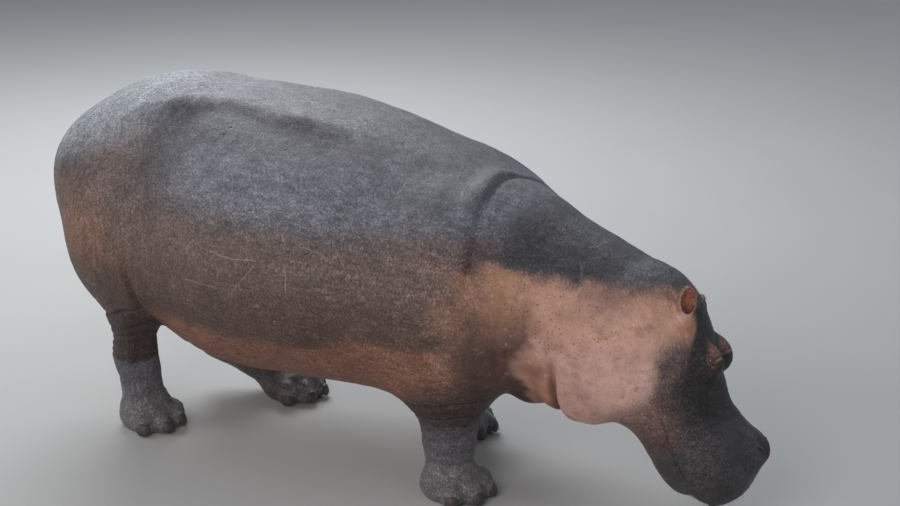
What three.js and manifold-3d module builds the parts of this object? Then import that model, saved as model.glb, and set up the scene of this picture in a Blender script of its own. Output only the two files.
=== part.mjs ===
// A hippopotamus, life size, standing with its head lowered to graze.
// It faces +X, its right side is -Y, +Z is up and its soles stand on Z = 0. Millimetres.
// The flesh is one rounded body: named forms (ellipsoids and tapered bars) that melt into each other,
// drawn as a closed mesh and parted into trunk, neck, head, lower jaw and legs by thin cuts.
import * as THREE from "three";
import Module from "manifold-3d";

// ---------------------------------------------------------------- driving sizes
const CUT = 0.3; // width of every parting cut
const BARREL_HALF = [920, 630, 540]; // half length, half width, half depth of the belly barrel
const BARREL_AT = [-300, 0, 835];
const BARREL_TILT = 4; // nose-down slope of the barrel, degrees
const RUMP_HALF = [470, 490, 465];
const CHEST_HALF = [460, 460, 420];
const THIGH_HALF = [[260, 220, 340], [270, 220, 350]]; // right, left
const SHOULDER_HALF = [270, 220, 400];
const NECK_ROOT_R = 360;
const NECK_HEAD_R = 270;
const JOWL_HALF = [190, 130, 200];
const FORE_TRACK = 280;
const HIND_FOOT_R = 122;
const FORE_FOOT_R = 135;
const KNEE_HEIGHT = 480;
const WRIST_HEIGHT = 240;
const TOE_ANGLES = [-58, -19, 19, 58]; // four toes fanned round the front of each foot
const TOE_HALF = [50, 42, 47];
const FOOT_HEIGHT = 170; // where a foot is parted from its leg
const NAIL_HALF = [13, 27, 23]; // thickness, width and height, halved
const NAIL_DEPTH = 6; // how deep the middle of a nail lies in the toe
const NAIL_BOTTOM = 3; // nails stop this far above the floor
const TAIL_LENGTH = 430;
const TAIL_AT = [-1395, 1130]; // X and Z of its root
const HEAD_AT = [1138.9, 30, 807]; // middle of the back of the skull
const HEAD_YAW = 24;
const HEAD_PITCH = 62; // nose down
const HEAD_LEAN = 14;
const CRANIUM_HALF = [180, 165, 130];
const MUZZLE_HALF = [155, 220, 125];
const CHIN_HALF = [130, 185, 78];
const ORBIT_HALF = [72, 52, 60];
const EYE_R = 21;
const EYE_AT = [262, 148, 112]; // along the head, out from its middle plane, up its dorsal side
const EAR_HALF = [62, 36, 23]; // length, width and thickness of the ear cup, halved
const EAR_ROOT_HALF = [42, 28, 25];
const EAR_BASE = [72, 138, 100];
const MOUTH_BACK = 300; // the mouth corner, along the head
const MOUTH_DROP = -132; // the mouth line, below the head's long axis

// mesh cell of each piece
const CELL = { trunk: 119, neck: 92, head: 48.5, leg: 70, foot: 48 };

// ---------------------------------------------------------------- small vector helpers
const rad = Math.PI / 180;
const V = (a) => new THREE.Vector3(a[0], a[1], a[2]);
const smoothMin = (a, b, k) => {
  const h = Math.max(k - Math.abs(a - b), 0) / k;
  return Math.min(a, b) - h * h * k * 0.25;
};
const smoothCut = (a, b, k) => {
  const h = Math.max(k - Math.abs(a + b), 0) / k;
  return Math.max(a, -b) + h * h * k * 0.25;
};

// A frame is an origin and three unit axes: u along, v to the left, w up.
const WORLD = { o: V([0, 0, 0]), u: V([1, 0, 0]), v: V([0, 1, 0]), w: V([0, 0, 1]) };
function toWorld(f, p) {
  return f.o.clone().addScaledVector(f.u, p[0]).addScaledVector(f.v, p[1]).addScaledVector(f.w, p[2]);
}
function headFrame() {
  const f = V([Math.cos(HEAD_YAW * rad), Math.sin(HEAD_YAW * rad), 0]);
  const z = V([0, 0, 1]);
  const ct = Math.cos(HEAD_PITCH * rad), st = Math.sin(HEAD_PITCH * rad);
  const u = f.clone().multiplyScalar(ct).addScaledVector(z, -st);
  const w = f.clone().multiplyScalar(st).addScaledVector(z, ct);
  const v = w.clone().cross(u);
  const c = Math.cos(HEAD_LEAN * rad), s = Math.sin(HEAD_LEAN * rad);
  return {
    o: V(HEAD_AT),
    u: u.clone().multiplyScalar(c).addScaledVector(v, -s),
    v: v.clone().multiplyScalar(c).addScaledVector(u, s),
    w,
  };
}
// The frame of an ear: u from its root to its tip, w out of its open side.
function earFrame(head, side) {
  const tip = side < 0 ? V([-0.8, -0.3, 0.52]) : V([-0.12, 0.93, -0.28]);
  const open = side < 0 ? V([0.25, -0.9, 0.35]) : V([0.8, 0.2, 0.55]);
  const turn = (q) => V([0, 0, 0]).addScaledVector(head.u, q.x).addScaledVector(head.v, q.y).addScaledVector(head.w, q.z);
  const u = turn(tip).normalize();
  const o = turn(open);
  const w = o.addScaledVector(u, -o.dot(u)).normalize();
  return { o: toWorld(head, [EAR_BASE[0], side * EAR_BASE[1], EAR_BASE[2]]), u, v: w.clone().cross(u), w };
}

// ---------------------------------------------------------------- the field of forms
class Field {
  constructor() {
    this.forms = [];
    this.frame = WORLD;
  }
  // An ellipsoid: centre, half sizes, width of its blend with the forms before it, turn about u, v and w.
  ell(c, r, k, turn = [0, 0, 0], cut = false) {
    const f = this.frame;
    const e = new THREE.Matrix4().makeRotationFromEuler(
      new THREE.Euler(turn[0] * rad, turn[1] * rad, turn[2] * rad, "ZYX"),
    );
    const m = new THREE.Matrix4().makeBasis(f.u, f.v, f.w).multiply(e);
    const x = V([0, 0, 0]), y = V([0, 0, 0]), z = V([0, 0, 0]);
    m.extractBasis(x, y, z);
    const at = toWorld(f, c);
    const q = V([0, 0, 0]);
    const d = (p) => {
      q.subVectors(p, at);
      const a = q.dot(x), b = q.dot(y), g = q.dot(z);
      const k0 = Math.hypot(a / r[0], b / r[1], g / r[2]);
      const k1 = Math.hypot(a / (r[0] * r[0]), b / (r[1] * r[1]), g / (r[2] * r[2]));
      return k1 > 1e-9 ? (k0 * (k0 - 1)) / k1 : -Math.min(...r);
    };
    this.forms.push({ d, k, cut, c: at, b: Math.max(...r) });
  }
  // A bar from a to b whose radius runs from ra to rb, squeezed along the frame's axes by flat.
  limb(a, b, ra, rb, k, flat = [1, 1, 1]) {
    const f = this.frame;
    const A = toWorld(f, a), B = toWorld(f, b);
    const local = (p) => V([p.dot(f.u) / flat[0], p.dot(f.v) / flat[1], p.dot(f.w) / flat[2]]);
    const la = local(A), ab = local(B).sub(la), n = ab.lengthSq(), s = Math.min(...flat);
    const q = V([0, 0, 0]);
    const d = (p) => {
      q.set(p.dot(f.u) / flat[0], p.dot(f.v) / flat[1], p.dot(f.w) / flat[2]).sub(la);
      const t = Math.min(1, Math.max(0, q.dot(ab) / n));
      return (q.addScaledVector(ab, -t).length() - (ra + (rb - ra) * t)) * s;
    };
    const c = A.clone().add(B).multiplyScalar(0.5);
    this.forms.push({ d, k, cut: false, c, b: A.distanceTo(B) / 2 + Math.max(ra, rb) * Math.max(...flat) });
  }
  at(p) {
    let f = 1000;
    for (const q of this.forms) {
      if (p.distanceTo(q.c) > q.b + 300) continue;
      const d = q.d(p);
      f = q.cut ? smoothCut(f, d, q.k) : smoothMin(f, d, q.k);
    }
    return f;
  }
}

// Hoofed foot: a pad with four toes.
function foot(F, x, y, r) {
  F.ell([x - 10, y, 45], [r * 0.98, r * 0.92, 78], 50);
  for (const a of TOE_ANGLES)
    F.ell([x - 30 + r * 0.95 * Math.cos(a * rad), y + r * 0.88 * Math.sin(a * rad), 40], TOE_HALF, 25, [0, 0, a]);
}
// Where each leg stands: side, joints along X, and the X of the foot. A hind leg also has its hock's height, the
// radius of its knee and hock, how far its hock and foot are from the middle plane, and how far the foot lies ahead.
const HIND = [
  { side: -1, hip: -1015, knee: -1020, hock: -1020, foot: -990, hockZ: 300, kneeR: 100, hockR: 85, hockY: 300, track: 300, ahead: 30 },
  { side: 1, hip: -950, knee: -980, hock: -955, foot: -745, hockZ: 235, kneeR: 118, hockR: 98, hockY: 200, track: 265, ahead: 95 },
];
const FORE = [
  { side: -1, shoulder: 420, wrist: 420, foot: 420, ahead: 30 },
  { side: 1, shoulder: 300, wrist: 160, foot: 100, ahead: 30 },
];

function trunkForms(F) {
  F.ell(BARREL_AT, BARREL_HALF, 100, [0, BARREL_TILT, 0]);
  F.ell([-980, 0, 910], RUMP_HALF, 200);
  F.ell([300, 0, 750], CHEST_HALF, 200);
  F.ell([-1040, -280, 790], THIGH_HALF[0], 120);
  F.ell([-970, 280, 760], THIGH_HALF[1], 120);
  for (const s of [-1, 1]) F.ell([-1200, s * 200, 1020], [200, 200, 200], 120);
  F.ell([-560, 0, 530], [410, 450, 228], 100);
  F.ell([380, -250, 740], SHOULDER_HALF, 150);
  F.ell([260, 250, 740], SHOULDER_HALF, 150);
}
function neckForms(F) {
  F.limb([500, 0, 800], [1020, 0, 705], NECK_ROOT_R, NECK_HEAD_R, 120);
  F.ell([740, 0, 560], [220, 200, 190], 100);
  for (const s of [-1, 1]) F.ell([930, s * 130 + 20, 540], JOWL_HALF, 80);
  F.ell([660, -70, 440], [85, 75, 85], 50);
}
function legForms(F) {
  for (const g of HIND) {
    const knee = [g.knee, (g.side * (g.hockY + 300)) / 2, KNEE_HEIGHT], hock = [g.hock, g.side * g.hockY, g.hockZ];
    const y = g.side * g.track;
    F.limb([g.hip, g.side * 280, 760], knee, 185, g.kneeR, 60);
    F.limb(knee, hock, g.kneeR, g.hockR, 50);
    F.limb(hock, [g.foot, y, 100], g.hockR, 82, 50);
    foot(F, g.foot + g.ahead, y, HIND_FOOT_R);
  }
  for (const g of FORE) {
    const y = g.side * FORE_TRACK, elbow = (g.shoulder + g.wrist) / 2;
    F.limb([g.shoulder, g.side * 270, 700], [elbow, y, 450], 200, 130, 120);
    F.limb([elbow, y, 470], [g.wrist, y, WRIST_HEIGHT], 128, 92, 70);
    F.limb([g.wrist, y, WRIST_HEIGHT], [g.foot, y, 110], 90, 90, 60);
    foot(F, g.foot + g.ahead, y, FORE_FOOT_R);
  }
}
function headForms(F, H) {
  F.frame = H;
  F.ell([90, 0, 0], CRANIUM_HALF, 100);
  F.ell([230, 0, 0], [170, 125, 95], 80);
  F.limb([200, 0, -60], [520, 0, -45], 150, 132, 80, [1, 0.98, 1]);
  for (const s of [-1, 1]) {
    F.ell([170, s * 115, -130], [180, 100, 190], 80);
    F.ell([270, s * 130, -20], [110, 55, 55], 50);
    F.ell([190, s * 110, -235], [150, 90, 110], 80);
    F.limb([330, s * 105, -115], [550, s * 130, -95], 80, 95, 70);
    F.ell([260, s * 116, 90], ORBIT_HALF, 45);
    F.ell([565, s * 155, -55], [130, 90, 125], 60);
    F.ell([675, s * 105, -70], [85, 115, 105], 50);
    F.ell([635, s * 85, 80], [60, 50, 45], 40);
  }
  F.ell([600, 0, -25], MUZZLE_HALF, 70);
  F.ell([680, 0, -75], [70, 130, 95], 50);
  F.limb([260, 0, -205], [520, 0, -180], 120, 98, 80, [1, 1.15, 0.9]);
  F.ell([565, 0, -176], CHIN_HALF, 50);
  F.ell([60, 0, -200], [200, 190, 200], 120);
  F.frame = WORLD;
}
// The tail is a tapering tube, flattened towards its tip: drop below the root, distance behind it,
// half thickness and half width at each ring.
const TAIL_RINGS = [[0.0, 0, 56, 71], [0.16, 50, 50, 62], [0.32, 80, 40, 54], [0.48, 96, 31, 46], [0.66, 104, 24, 36], [0.84, 105, 17, 28], [0.96, 103, 12, 20]];
const TAIL_SEGMENTS = 10;
function tailTube() {
  const [x0, z0] = TAIL_AT, n = TAIL_RINGS.length;
  const mid = TAIL_RINGS.map(([d, back]) => V([x0 - back, 0, z0 - d * TAIL_LENGTH]));
  const pos = [x0 + 40, 0, z0 + 40], tri = [];
  mid.forEach((c, i) => {
    const t = mid[Math.min(i + 1, n - 1)].clone().sub(mid[Math.max(i - 1, 0)]).normalize();
    const across = V([0, 1, 0]), thick = t.clone().cross(across);
    for (let j = 0; j < TAIL_SEGMENTS; j++) {
      const f = (2 * Math.PI * (j + 0.5)) / TAIL_SEGMENTS;
      pos.push(...c.clone().addScaledVector(across, TAIL_RINGS[i][3] * Math.cos(f)).addScaledVector(thick, TAIL_RINGS[i][2] * Math.sin(f)).toArray());
    }
  });
  pos.push(x0 - 102, 0, z0 - TAIL_LENGTH);
  const last = pos.length / 3 - 1, at = (i, j) => 1 + i * TAIL_SEGMENTS + (j % TAIL_SEGMENTS);
  for (let j = 0; j < TAIL_SEGMENTS; j++) {
    tri.push(0, at(0, j + 1), at(0, j));
    for (let i = 0; i < n - 1; i++) tri.push(at(i, j), at(i, j + 1), at(i + 1, j + 1), at(i, j), at(i + 1, j + 1), at(i + 1, j));
    tri.push(last, at(n - 1, j), at(n - 1, j + 1));
  }
  return { pos, tri };
}
// The ear is a cup: rings that run from the floor of its hollow over the rim to the middle of its back,
// each given as a share of the outline and a share of the thickness.
const EAR_RINGS = [[0.45, -0.06], [0.68, 0.2], [0.83, 0.52], [0.96, 0.3], [0.99, -0.1], [0.86, -0.52], [0.5, -0.87]];
const EAR_SEGMENTS = 12;
function earCup(E) {
  const [A, B, T] = EAR_HALF, mid = A - 7;
  const pos = [...toWorld(E, [mid, 0, -0.14 * T]).toArray()], tri = [];
  for (const [r, t] of EAR_RINGS)
    for (let j = 0; j < EAR_SEGMENTS; j++) {
      const f = (2 * Math.PI * j) / EAR_SEGMENTS;
      pos.push(...toWorld(E, [mid + A * r * Math.cos(f), B * r * Math.sin(f) * (1 - 0.12 * Math.cos(f)), T * t]).toArray());
    }
  pos.push(...toWorld(E, [mid, 0, -T]).toArray());
  const last = pos.length / 3 - 1, n = EAR_RINGS.length, at = (i, j) => 1 + i * EAR_SEGMENTS + (j % EAR_SEGMENTS);
  for (let j = 0; j < EAR_SEGMENTS; j++) {
    tri.push(0, at(0, j), at(0, j + 1));
    for (let i = 0; i < n - 1; i++) tri.push(at(i, j), at(i + 1, j + 1), at(i, j + 1), at(i, j), at(i + 1, j), at(i + 1, j + 1));
    tri.push(last, at(n - 1, j + 1), at(n - 1, j));
  }
  return { pos, tri };
}

// ---------------------------------------------------------------- from field to closed mesh
// Draws the surface value = 0 inside the box lo..hi with cells of h; the box itself closes the mesh.
function surface(value, lo, hi, h) {
  const n = [0, 1, 2].map((i) => Math.ceil((hi[i] - lo[i]) / h) + 5);
  const o = lo.map((v) => v - 2 * h);
  const p = V([0, 0, 0]);
  const f = (q) => {
    const b = Math.max(lo[0] - q.x, q.x - hi[0], lo[1] - q.y, q.y - hi[1], lo[2] - q.z, q.z - hi[2]);
    return b > 1.5 * h ? b : Math.max(value(q), b);
  };
  const id = (i, j, k) => (k * n[1] + j) * n[0] + i;
  const val = new Float64Array(n[0] * n[1] * n[2]);
  for (let k = 0; k < n[2]; k++)
    for (let j = 0; j < n[1]; j++)
      for (let i = 0; i < n[0]; i++)
        val[id(i, j, k)] = f(p.set(o[0] + i * h, o[1] + j * h, o[2] + k * h)) || 1e-6;
  const corner = [];
  for (let c = 0; c < 8; c++) corner.push([c & 1, (c >> 1) & 1, (c >> 2) & 1]);
  const vert = new Int32Array(val.length).fill(-1);
  const pos = [];
  for (let k = 0; k < n[2] - 1; k++)
    for (let j = 0; j < n[1] - 1; j++)
      for (let i = 0; i < n[0] - 1; i++) {
        const v = corner.map((c) => val[id(i + c[0], j + c[1], k + c[2])]);
        const inside = v.filter((x) => x < 0).length;
        if (inside === 0 || inside === 8) continue;
        const s = [0, 0, 0];
        let m = 0;
        for (let a = 0; a < 8; a++)
          for (let d = 0; d < 3; d++) {
            const b = a | (1 << d);
            if (b === a || v[a] < 0 === v[b] < 0) continue;
            const t = v[a] / (v[a] - v[b]);
            for (let e = 0; e < 3; e++) s[e] += corner[a][e] + (e === d ? t : 0);
            m++;
          }
        vert[id(i, j, k)] = pos.length / 3;
        // settle the vertex on the surface
        const q = V([o[0] + (i + s[0] / m) * h, o[1] + (j + s[1] / m) * h, o[2] + (k + s[2] / m) * h]);
        const g = V([0, 0, 0]), r = V([0, 0, 0]);
        for (let step = 0; step < 3; step++) {
          const w = f(q);
          for (let e = 0; e < 3; e++) {
            r.copy(q).setComponent(e, q.getComponent(e) + 1);
            g.setComponent(e, f(r) - w);
          }
          const l = Math.max(g.lengthSq(), 0.2);
          q.addScaledVector(g, -Math.max(-h * 0.35, Math.min(h * 0.35, w)) / l);
        }
        pos.push(q.x, q.y, q.z);
      }
  const tri = [];
  for (let k = 1; k < n[2] - 1; k++)
    for (let j = 1; j < n[1] - 1; j++)
      for (let i = 1; i < n[0] - 1; i++)
        for (let d = 0; d < 3; d++) {
          const at = [i, j, k], to = [i, j, k];
          to[d]++;
          const a = val[id(...at)] < 0, b = val[id(...to)] < 0;
          if (a === b) continue;
          const e = (d + 1) % 3, g = (d + 2) % 3;
          const c = (x, y) => {
            const r = [...at];
            r[e] -= x;
            r[g] -= y;
            return vert[id(...r)];
          };
          const q = [c(1, 1), c(0, 1), c(0, 0), c(1, 0)];
          if (!a) q.reverse();
          // split the quad along its shorter diagonal
          const len = (x, y) => Math.hypot(pos[3 * x] - pos[3 * y], pos[3 * x + 1] - pos[3 * y + 1], pos[3 * x + 2] - pos[3 * y + 2]);
          if (len(q[0], q[2]) <= len(q[1], q[3])) tri.push(q[0], q[1], q[2], q[0], q[2], q[3]);
          else tri.push(q[1], q[2], q[3], q[1], q[3], q[0]);
        }
  return { pos, tri };
}

const wasm = await Module();
wasm.setup();
const solid = (m) =>
  new wasm.Manifold(
    new wasm.Mesh({ numProp: 3, vertProperties: new Float32Array(m.pos), triVerts: new Uint32Array(m.tri) }),
  );
// A block in a frame, from lo to hi.
function block(f, lo, hi, grow = 0) {
  const pos = [];
  for (let c = 0; c < 8; c++) {
    const p = [0, 1, 2].map((e) => ((c >> e) & 1 ? hi[e] + grow : lo[e] - grow));
    pos.push(...toWorld(f, p).toArray());
  }
  const faces = [[0, 2, 3, 1], [4, 5, 7, 6], [0, 1, 5, 4], [2, 6, 7, 3], [0, 4, 6, 2], [1, 3, 7, 5]];
  const tri = [];
  for (const [a, b, c, d] of faces) tri.push(a, b, c, a, c, d);
  return solid({ pos, tri });
}
// An ellipsoid in a frame, drawn with rings and segments.
function ellipsoid(f, r, rings, segs) {
  const pos = [...toWorld(f, [-r[0], 0, 0]).toArray()], tri = [];
  for (let i = 1; i < rings; i++)
    for (let j = 0; j < segs; j++) {
      const a = (Math.PI * i) / rings, b = (2 * Math.PI * j) / segs;
      pos.push(...toWorld(f, [-r[0] * Math.cos(a), r[1] * Math.sin(a) * Math.cos(b), r[2] * Math.sin(a) * Math.sin(b)]).toArray());
    }
  pos.push(...toWorld(f, [r[0], 0, 0]).toArray());
  const last = pos.length / 3 - 1, at = (i, j) => 1 + (i - 1) * segs + (j % segs);
  for (let j = 0; j < segs; j++) {
    tri.push(0, at(1, j + 1), at(1, j));
    for (let i = 1; i < rings - 1; i++)
      tri.push(at(i, j), at(i, j + 1), at(i + 1, j + 1), at(i, j), at(i + 1, j + 1), at(i + 1, j));
    tri.push(last, at(rings - 1, j), at(rings - 1, j + 1));
  }
  return solid({ pos, tri });
}
// The same mesh with every vertex moved out by d along its normal.
function swell(m, d) {
  const n = new Float64Array(m.pos.length), pos = m.pos.slice();
  const a = V([0, 0, 0]), b = V([0, 0, 0]), c = V([0, 0, 0]);
  for (let i = 0; i < m.tri.length; i += 3) {
    const [p, q, r] = [0, 1, 2].map((e) => m.tri[i + e]);
    a.fromArray(m.pos, 3 * p);
    b.fromArray(m.pos, 3 * q).sub(a);
    c.fromArray(m.pos, 3 * r).sub(a);
    b.cross(c);
    for (const k of [p, q, r]) for (let e = 0; e < 3; e++) n[3 * k + e] += b.getComponent(e);
  }
  for (let i = 0; i < n.length; i += 3) {
    const l = Math.hypot(n[i], n[i + 1], n[i + 2]) || 1;
    for (let e = 0; e < 3; e++) pos[i + e] += (n[i + e] / l) * d;
  }
  return { pos, tri: m.tri };
}
// The biggest closed body of a solid, with the hair-thin edges that cutting leaves drawn together.
const SHORTEST_EDGE = 0.4;
function main(s) {
  const big = s.decompose().sort((a, b) => b.volume() - a.volume())[0];
  const m = big.getMesh(), n = m.numProp;
  const at = (i) => [0, 1, 2].map((k) => m.vertProperties[i * n + k]);
  const points = [...Array(m.numVert).keys()].map(at);
  let tris = [...Array(m.triVerts.length / 3).keys()].map((t) => [0, 1, 2].map((e) => m.triVerts[3 * t + e]));
  const around = new Map();
  tris.forEach((t) => t.forEach((v) => around.set(v, (around.get(v) || new Set()).add(t))));
  const ring = (v) => new Set([...around.get(v)].flat().filter((w) => w !== v));
  const short = (a, b) => Math.hypot(...[0, 1, 2].map((k) => points[a][k] - points[b][k])) < SHORTEST_EDGE;
  const queue = tris.flatMap((t) => [0, 1, 2].map((e) => [t[e], t[(e + 1) % 3]])).filter(([a, b]) => a < b && short(a, b));
  for (const [a, b] of queue) {
    if (!around.get(a)?.size || !around.get(b)?.size) continue;
    const ra = ring(a), rb = ring(b);
    if (!ra.has(b) || [...ra].filter((v) => rb.has(v)).length !== 2) continue;
    for (const t of [...around.get(a)]) {
      if (t.includes(b)) t.forEach((v) => around.get(v).delete(t));
      else {
        t[t.indexOf(a)] = b;
        around.get(b).add(t);
      }
    }
    around.set(a, new Set());
  }
  tris = [...new Set([...around.values()].flatMap((set) => [...set]))];
  return solid({ pos: points.flat(), tri: tris.flat() });
}

// ---------------------------------------------------------------- the whole animal
const H = headFrame();
const body = new Field();
trunkForms(body);
neckForms(body);
legForms(body);
headForms(body, H);
const flesh = (p) => body.at(p);

const ABOVE_FLOOR = block(WORLD, [-3000, -2000, 0], [3000, 2000, 3000]);
// The neck starts at a nearly upright plane behind the shoulder fold and the head at a sloping one behind the jowls.
const slope = (x, z, nx, nz) => {
  const l = Math.hypot(nx, nz), u = V([nx / l, 0, nz / l]);
  return { o: V([x, 0, z]), u, v: V([0, 1, 0]), w: u.clone().cross(V([0, 1, 0])) };
};
const SHOULDER_PLANE = slope(600, 900, 0.99, -0.13);
const HEAD_PLANE = slope(1150, 900, 0.85, -0.53);
const ahead = (f, gap) => block(f, [gap, -2000, -2500], [4000, 2000, 2500]);
const behind = (f, gap) => block(f, [-4000, -2000, -2500], [-gap, 2000, 2500]);

// Each limb is parted from the trunk by a block, and from its foot by a level plane.
const limbs = [
  { name: "hind_right", lo: [-1400, -750], hi: [-770, -20], top: 500, foot: [-1400, -750, -740, -20], toe: HIND[0], r: HIND_FOOT_R, track: HIND[0].track },
  { name: "hind_left", lo: [-1300, 20], hi: [-560, 750], top: 500, foot: [-1200, 20, -400, 750], toe: HIND[1], r: HIND_FOOT_R, track: HIND[1].track },
  { name: "front_right", lo: [225, -750], hi: [570, -20], top: 470, foot: [200, -750, 700, -20], toe: FORE[0], r: FORE_FOOT_R, track: FORE_TRACK },
  { name: "front_left", lo: [-30, 20], hi: [400, 750], top: 470, foot: [-80, 20, 420, 750], toe: FORE[1], r: FORE_FOOT_R, track: FORE_TRACK },
];
const legRoom = (g) => [[...g.lo, FOOT_HEIGHT], [...g.hi, g.top]];
const footRoom = (g) => [[g.foot[0], g.foot[1], -100], [g.foot[2], g.foot[3], FOOT_HEIGHT]];
const around = ([lo, hi], h) => [lo.map((v) => v - h), hi.map((v) => v + h)];

const made = {};
const half = CUT / 2;
let limbRoom = null;
for (const g of limbs) {
  const leg = legRoom(g), foot = footRoom(g);
  for (const [lo, hi] of [leg, foot]) {
    const b = block(WORLD, lo, hi, half);
    limbRoom = limbRoom ? limbRoom.add(b) : b;
  }
  made["leg_" + g.name] = main(solid(surface(flesh, ...around(leg, 66), CELL.leg)).intersect(block(WORLD, ...leg, -half)));
  let paw = solid(surface(flesh, ...around(foot, 60), CELL.foot)).intersect(block(WORLD, ...foot, -half)).intersect(ABOVE_FLOOR);
  // the nails are let into the toes' fronts, their faces a little up
  const x = g.toe.foot + g.toe.ahead, y = g.toe.side * g.track;
  TOE_ANGLES.forEach((a, i) => {
    const c = Math.cos(a * rad), s = Math.sin(a * rad);
    const out = V([c, s, 0.18]).normalize(), side = V([-s, c, 0]);
    const start = V([x - 30 + g.r * 0.95 * c, y + g.r * 0.88 * s, NAIL_BOTTOM + NAIL_HALF[2]]);
    const p = start.clone();
    for (let t = 0; t < 120; t += 0.5) {
      p.copy(start).addScaledVector(out, t);
      if (flesh(p) > -NAIL_DEPTH) break;
    }
    const f = { o: p.clone(), u: out, v: side, w: out.clone().cross(side) };
    made["nail_" + g.name + "_" + (i + 1)] = ellipsoid(f, NAIL_HALF, 4, 7);
    paw = paw.subtract(ellipsoid(f, NAIL_HALF.map((r) => r + CUT * 1.3), 4, 7));
  });
  made["foot_" + g.name] = main(paw);
}
const trunkMesh = surface(flesh, [-1650, -800, 150], [760, 800, 1600], CELL.trunk);
made.trunk = main(
  solid(trunkMesh).intersect(behind(SHOULDER_PLANE, half)).subtract(limbRoom),
);
made.neck = main(
  solid(surface(flesh, [420, -600, 150], [1400, 600, 1400], CELL.neck))
    .intersect(ahead(SHOULDER_PLANE, half))
    .intersect(behind(HEAD_PLANE, half))
    .subtract(limbRoom),
);
const skullMesh = surface(flesh, [640, -420, 20], [1750, 480, 1150], CELL.head);
const skull = solid(skullMesh).intersect(ahead(HEAD_PLANE, half));
// The lower jaw lies under the mouth line and ahead of the mouth corner.
const mouth = (grow) => block(H, [MOUTH_BACK, -500, -900], [1200, 500, MOUTH_DROP], grow);
let head = skull.subtract(mouth(half));
made.lower_jaw = main(skull.intersect(mouth(-half)));

// eyes let into the orbits
for (const [name, s] of [["right", -1], ["left", 1]]) {
  const f = { ...H, o: toWorld(H, [EYE_AT[0], s * EYE_AT[1], EYE_AT[2]]) };
  made["eye_" + name] = ellipsoid(f, [EYE_R, EYE_R, EYE_R], 6, 8);
  head = head.subtract(ellipsoid(f, [EYE_R + CUT, EYE_R + CUT, EYE_R + CUT], 6, 8));
}
made.head = main(head);

// ears and tail sit on the flesh, parted from it by a skin of air
const skullOff = solid(swell(skullMesh, CUT * 1.3));
for (const [name, s] of [["right", -1], ["left", 1]]) {
  const E = earFrame(H, s);
  const root = ellipsoid({ ...E, o: toWorld(E, [2, 0, -5]) }, EAR_ROOT_HALF, 6, 10);
  made["ear_" + name] = main(solid(earCup(E)).add(root).subtract(skullOff));
}
made.tail = main(solid(tailTube()).subtract(solid(swell(trunkMesh, CUT * 1.3))));

// ---------------------------------------------------------------- named meshes
const TONE = { hide: 0x6f5f60, belly: 0x8a6a62, ear: 0xa4705c, eye: 0x14100e, nail: 0x6a5a50 };
const toneOf = (n) =>
  n.startsWith("eye") ? TONE.eye : n.startsWith("nail") ? TONE.nail : n.startsWith("ear") ? TONE.ear : n === "lower_jaw" ? TONE.belly : TONE.hide;
const root = new THREE.Group();
root.name = "hippopotamus";
const box = new THREE.Box3();
const pieces = Object.entries(made).map(([name, s]) => {
  const m = s.getMesh(), g = new THREE.BufferGeometry();
  const v = new Float32Array(m.numVert * 3);
  for (let i = 0; i < m.numVert; i++) v.set(m.vertProperties.subarray(i * m.numProp, i * m.numProp + 3), i * 3);
  g.setAttribute("position", new THREE.BufferAttribute(v, 3));
  g.setIndex(new THREE.BufferAttribute(new Uint32Array(m.triVerts), 1));
  g.computeBoundingBox();
  box.union(g.boundingBox);
  return [name, g];
});
// The origin is the middle of the footprint of the whole, on the floor.
const mid = box.getCenter(V([0, 0, 0]));
for (const [name, g] of pieces) {
  g.translate(-mid.x, -mid.y, -box.min.z);
  g.computeVertexNormals();
  const mesh = new THREE.Mesh(
    g,
    new THREE.MeshStandardMaterial({ color: toneOf(name), roughness: name.startsWith("eye") ? 0.15 : 0.7, metalness: 0 }),
  );
  mesh.name = name;
  root.add(mesh);
}
export default root;
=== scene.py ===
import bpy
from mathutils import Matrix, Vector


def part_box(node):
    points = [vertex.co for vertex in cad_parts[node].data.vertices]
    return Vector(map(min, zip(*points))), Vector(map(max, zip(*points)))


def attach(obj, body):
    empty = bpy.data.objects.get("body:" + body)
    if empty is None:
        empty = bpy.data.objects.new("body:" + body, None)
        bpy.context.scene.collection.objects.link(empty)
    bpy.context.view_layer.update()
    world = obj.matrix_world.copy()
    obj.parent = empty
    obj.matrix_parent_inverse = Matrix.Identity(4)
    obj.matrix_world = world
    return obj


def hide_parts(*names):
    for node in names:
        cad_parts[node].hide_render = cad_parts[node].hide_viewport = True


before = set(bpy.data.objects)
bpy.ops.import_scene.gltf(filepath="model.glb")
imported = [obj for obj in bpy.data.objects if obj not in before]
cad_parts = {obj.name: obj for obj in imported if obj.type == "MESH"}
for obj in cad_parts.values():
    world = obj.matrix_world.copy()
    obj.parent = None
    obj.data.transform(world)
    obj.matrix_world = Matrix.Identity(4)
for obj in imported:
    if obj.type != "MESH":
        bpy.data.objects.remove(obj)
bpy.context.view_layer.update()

import math

import bpy
import numpy as np
from mathutils import Matrix, Vector

# ------------------------------------------------------------------ the animal's forms, in metres
# The animal stands along +X, its right side towards -Y, its soles on z = 0.
FORE_TRACK = 0.280
HIND_FOOT_R, FORE_FOOT_R = 0.122, 0.135
TOE_ANGLES = (-58, -19, 19, 58)
NAIL_HALF = (0.013, 0.027, 0.023)
EYE_AT, EYE_R = (0.262, 0.148, 0.112), 0.021
HEAD_AT, HEAD_YAW, HEAD_PITCH, HEAD_LEAN = (1.1389, 0.03, 0.807), 24, 62, 14
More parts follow.
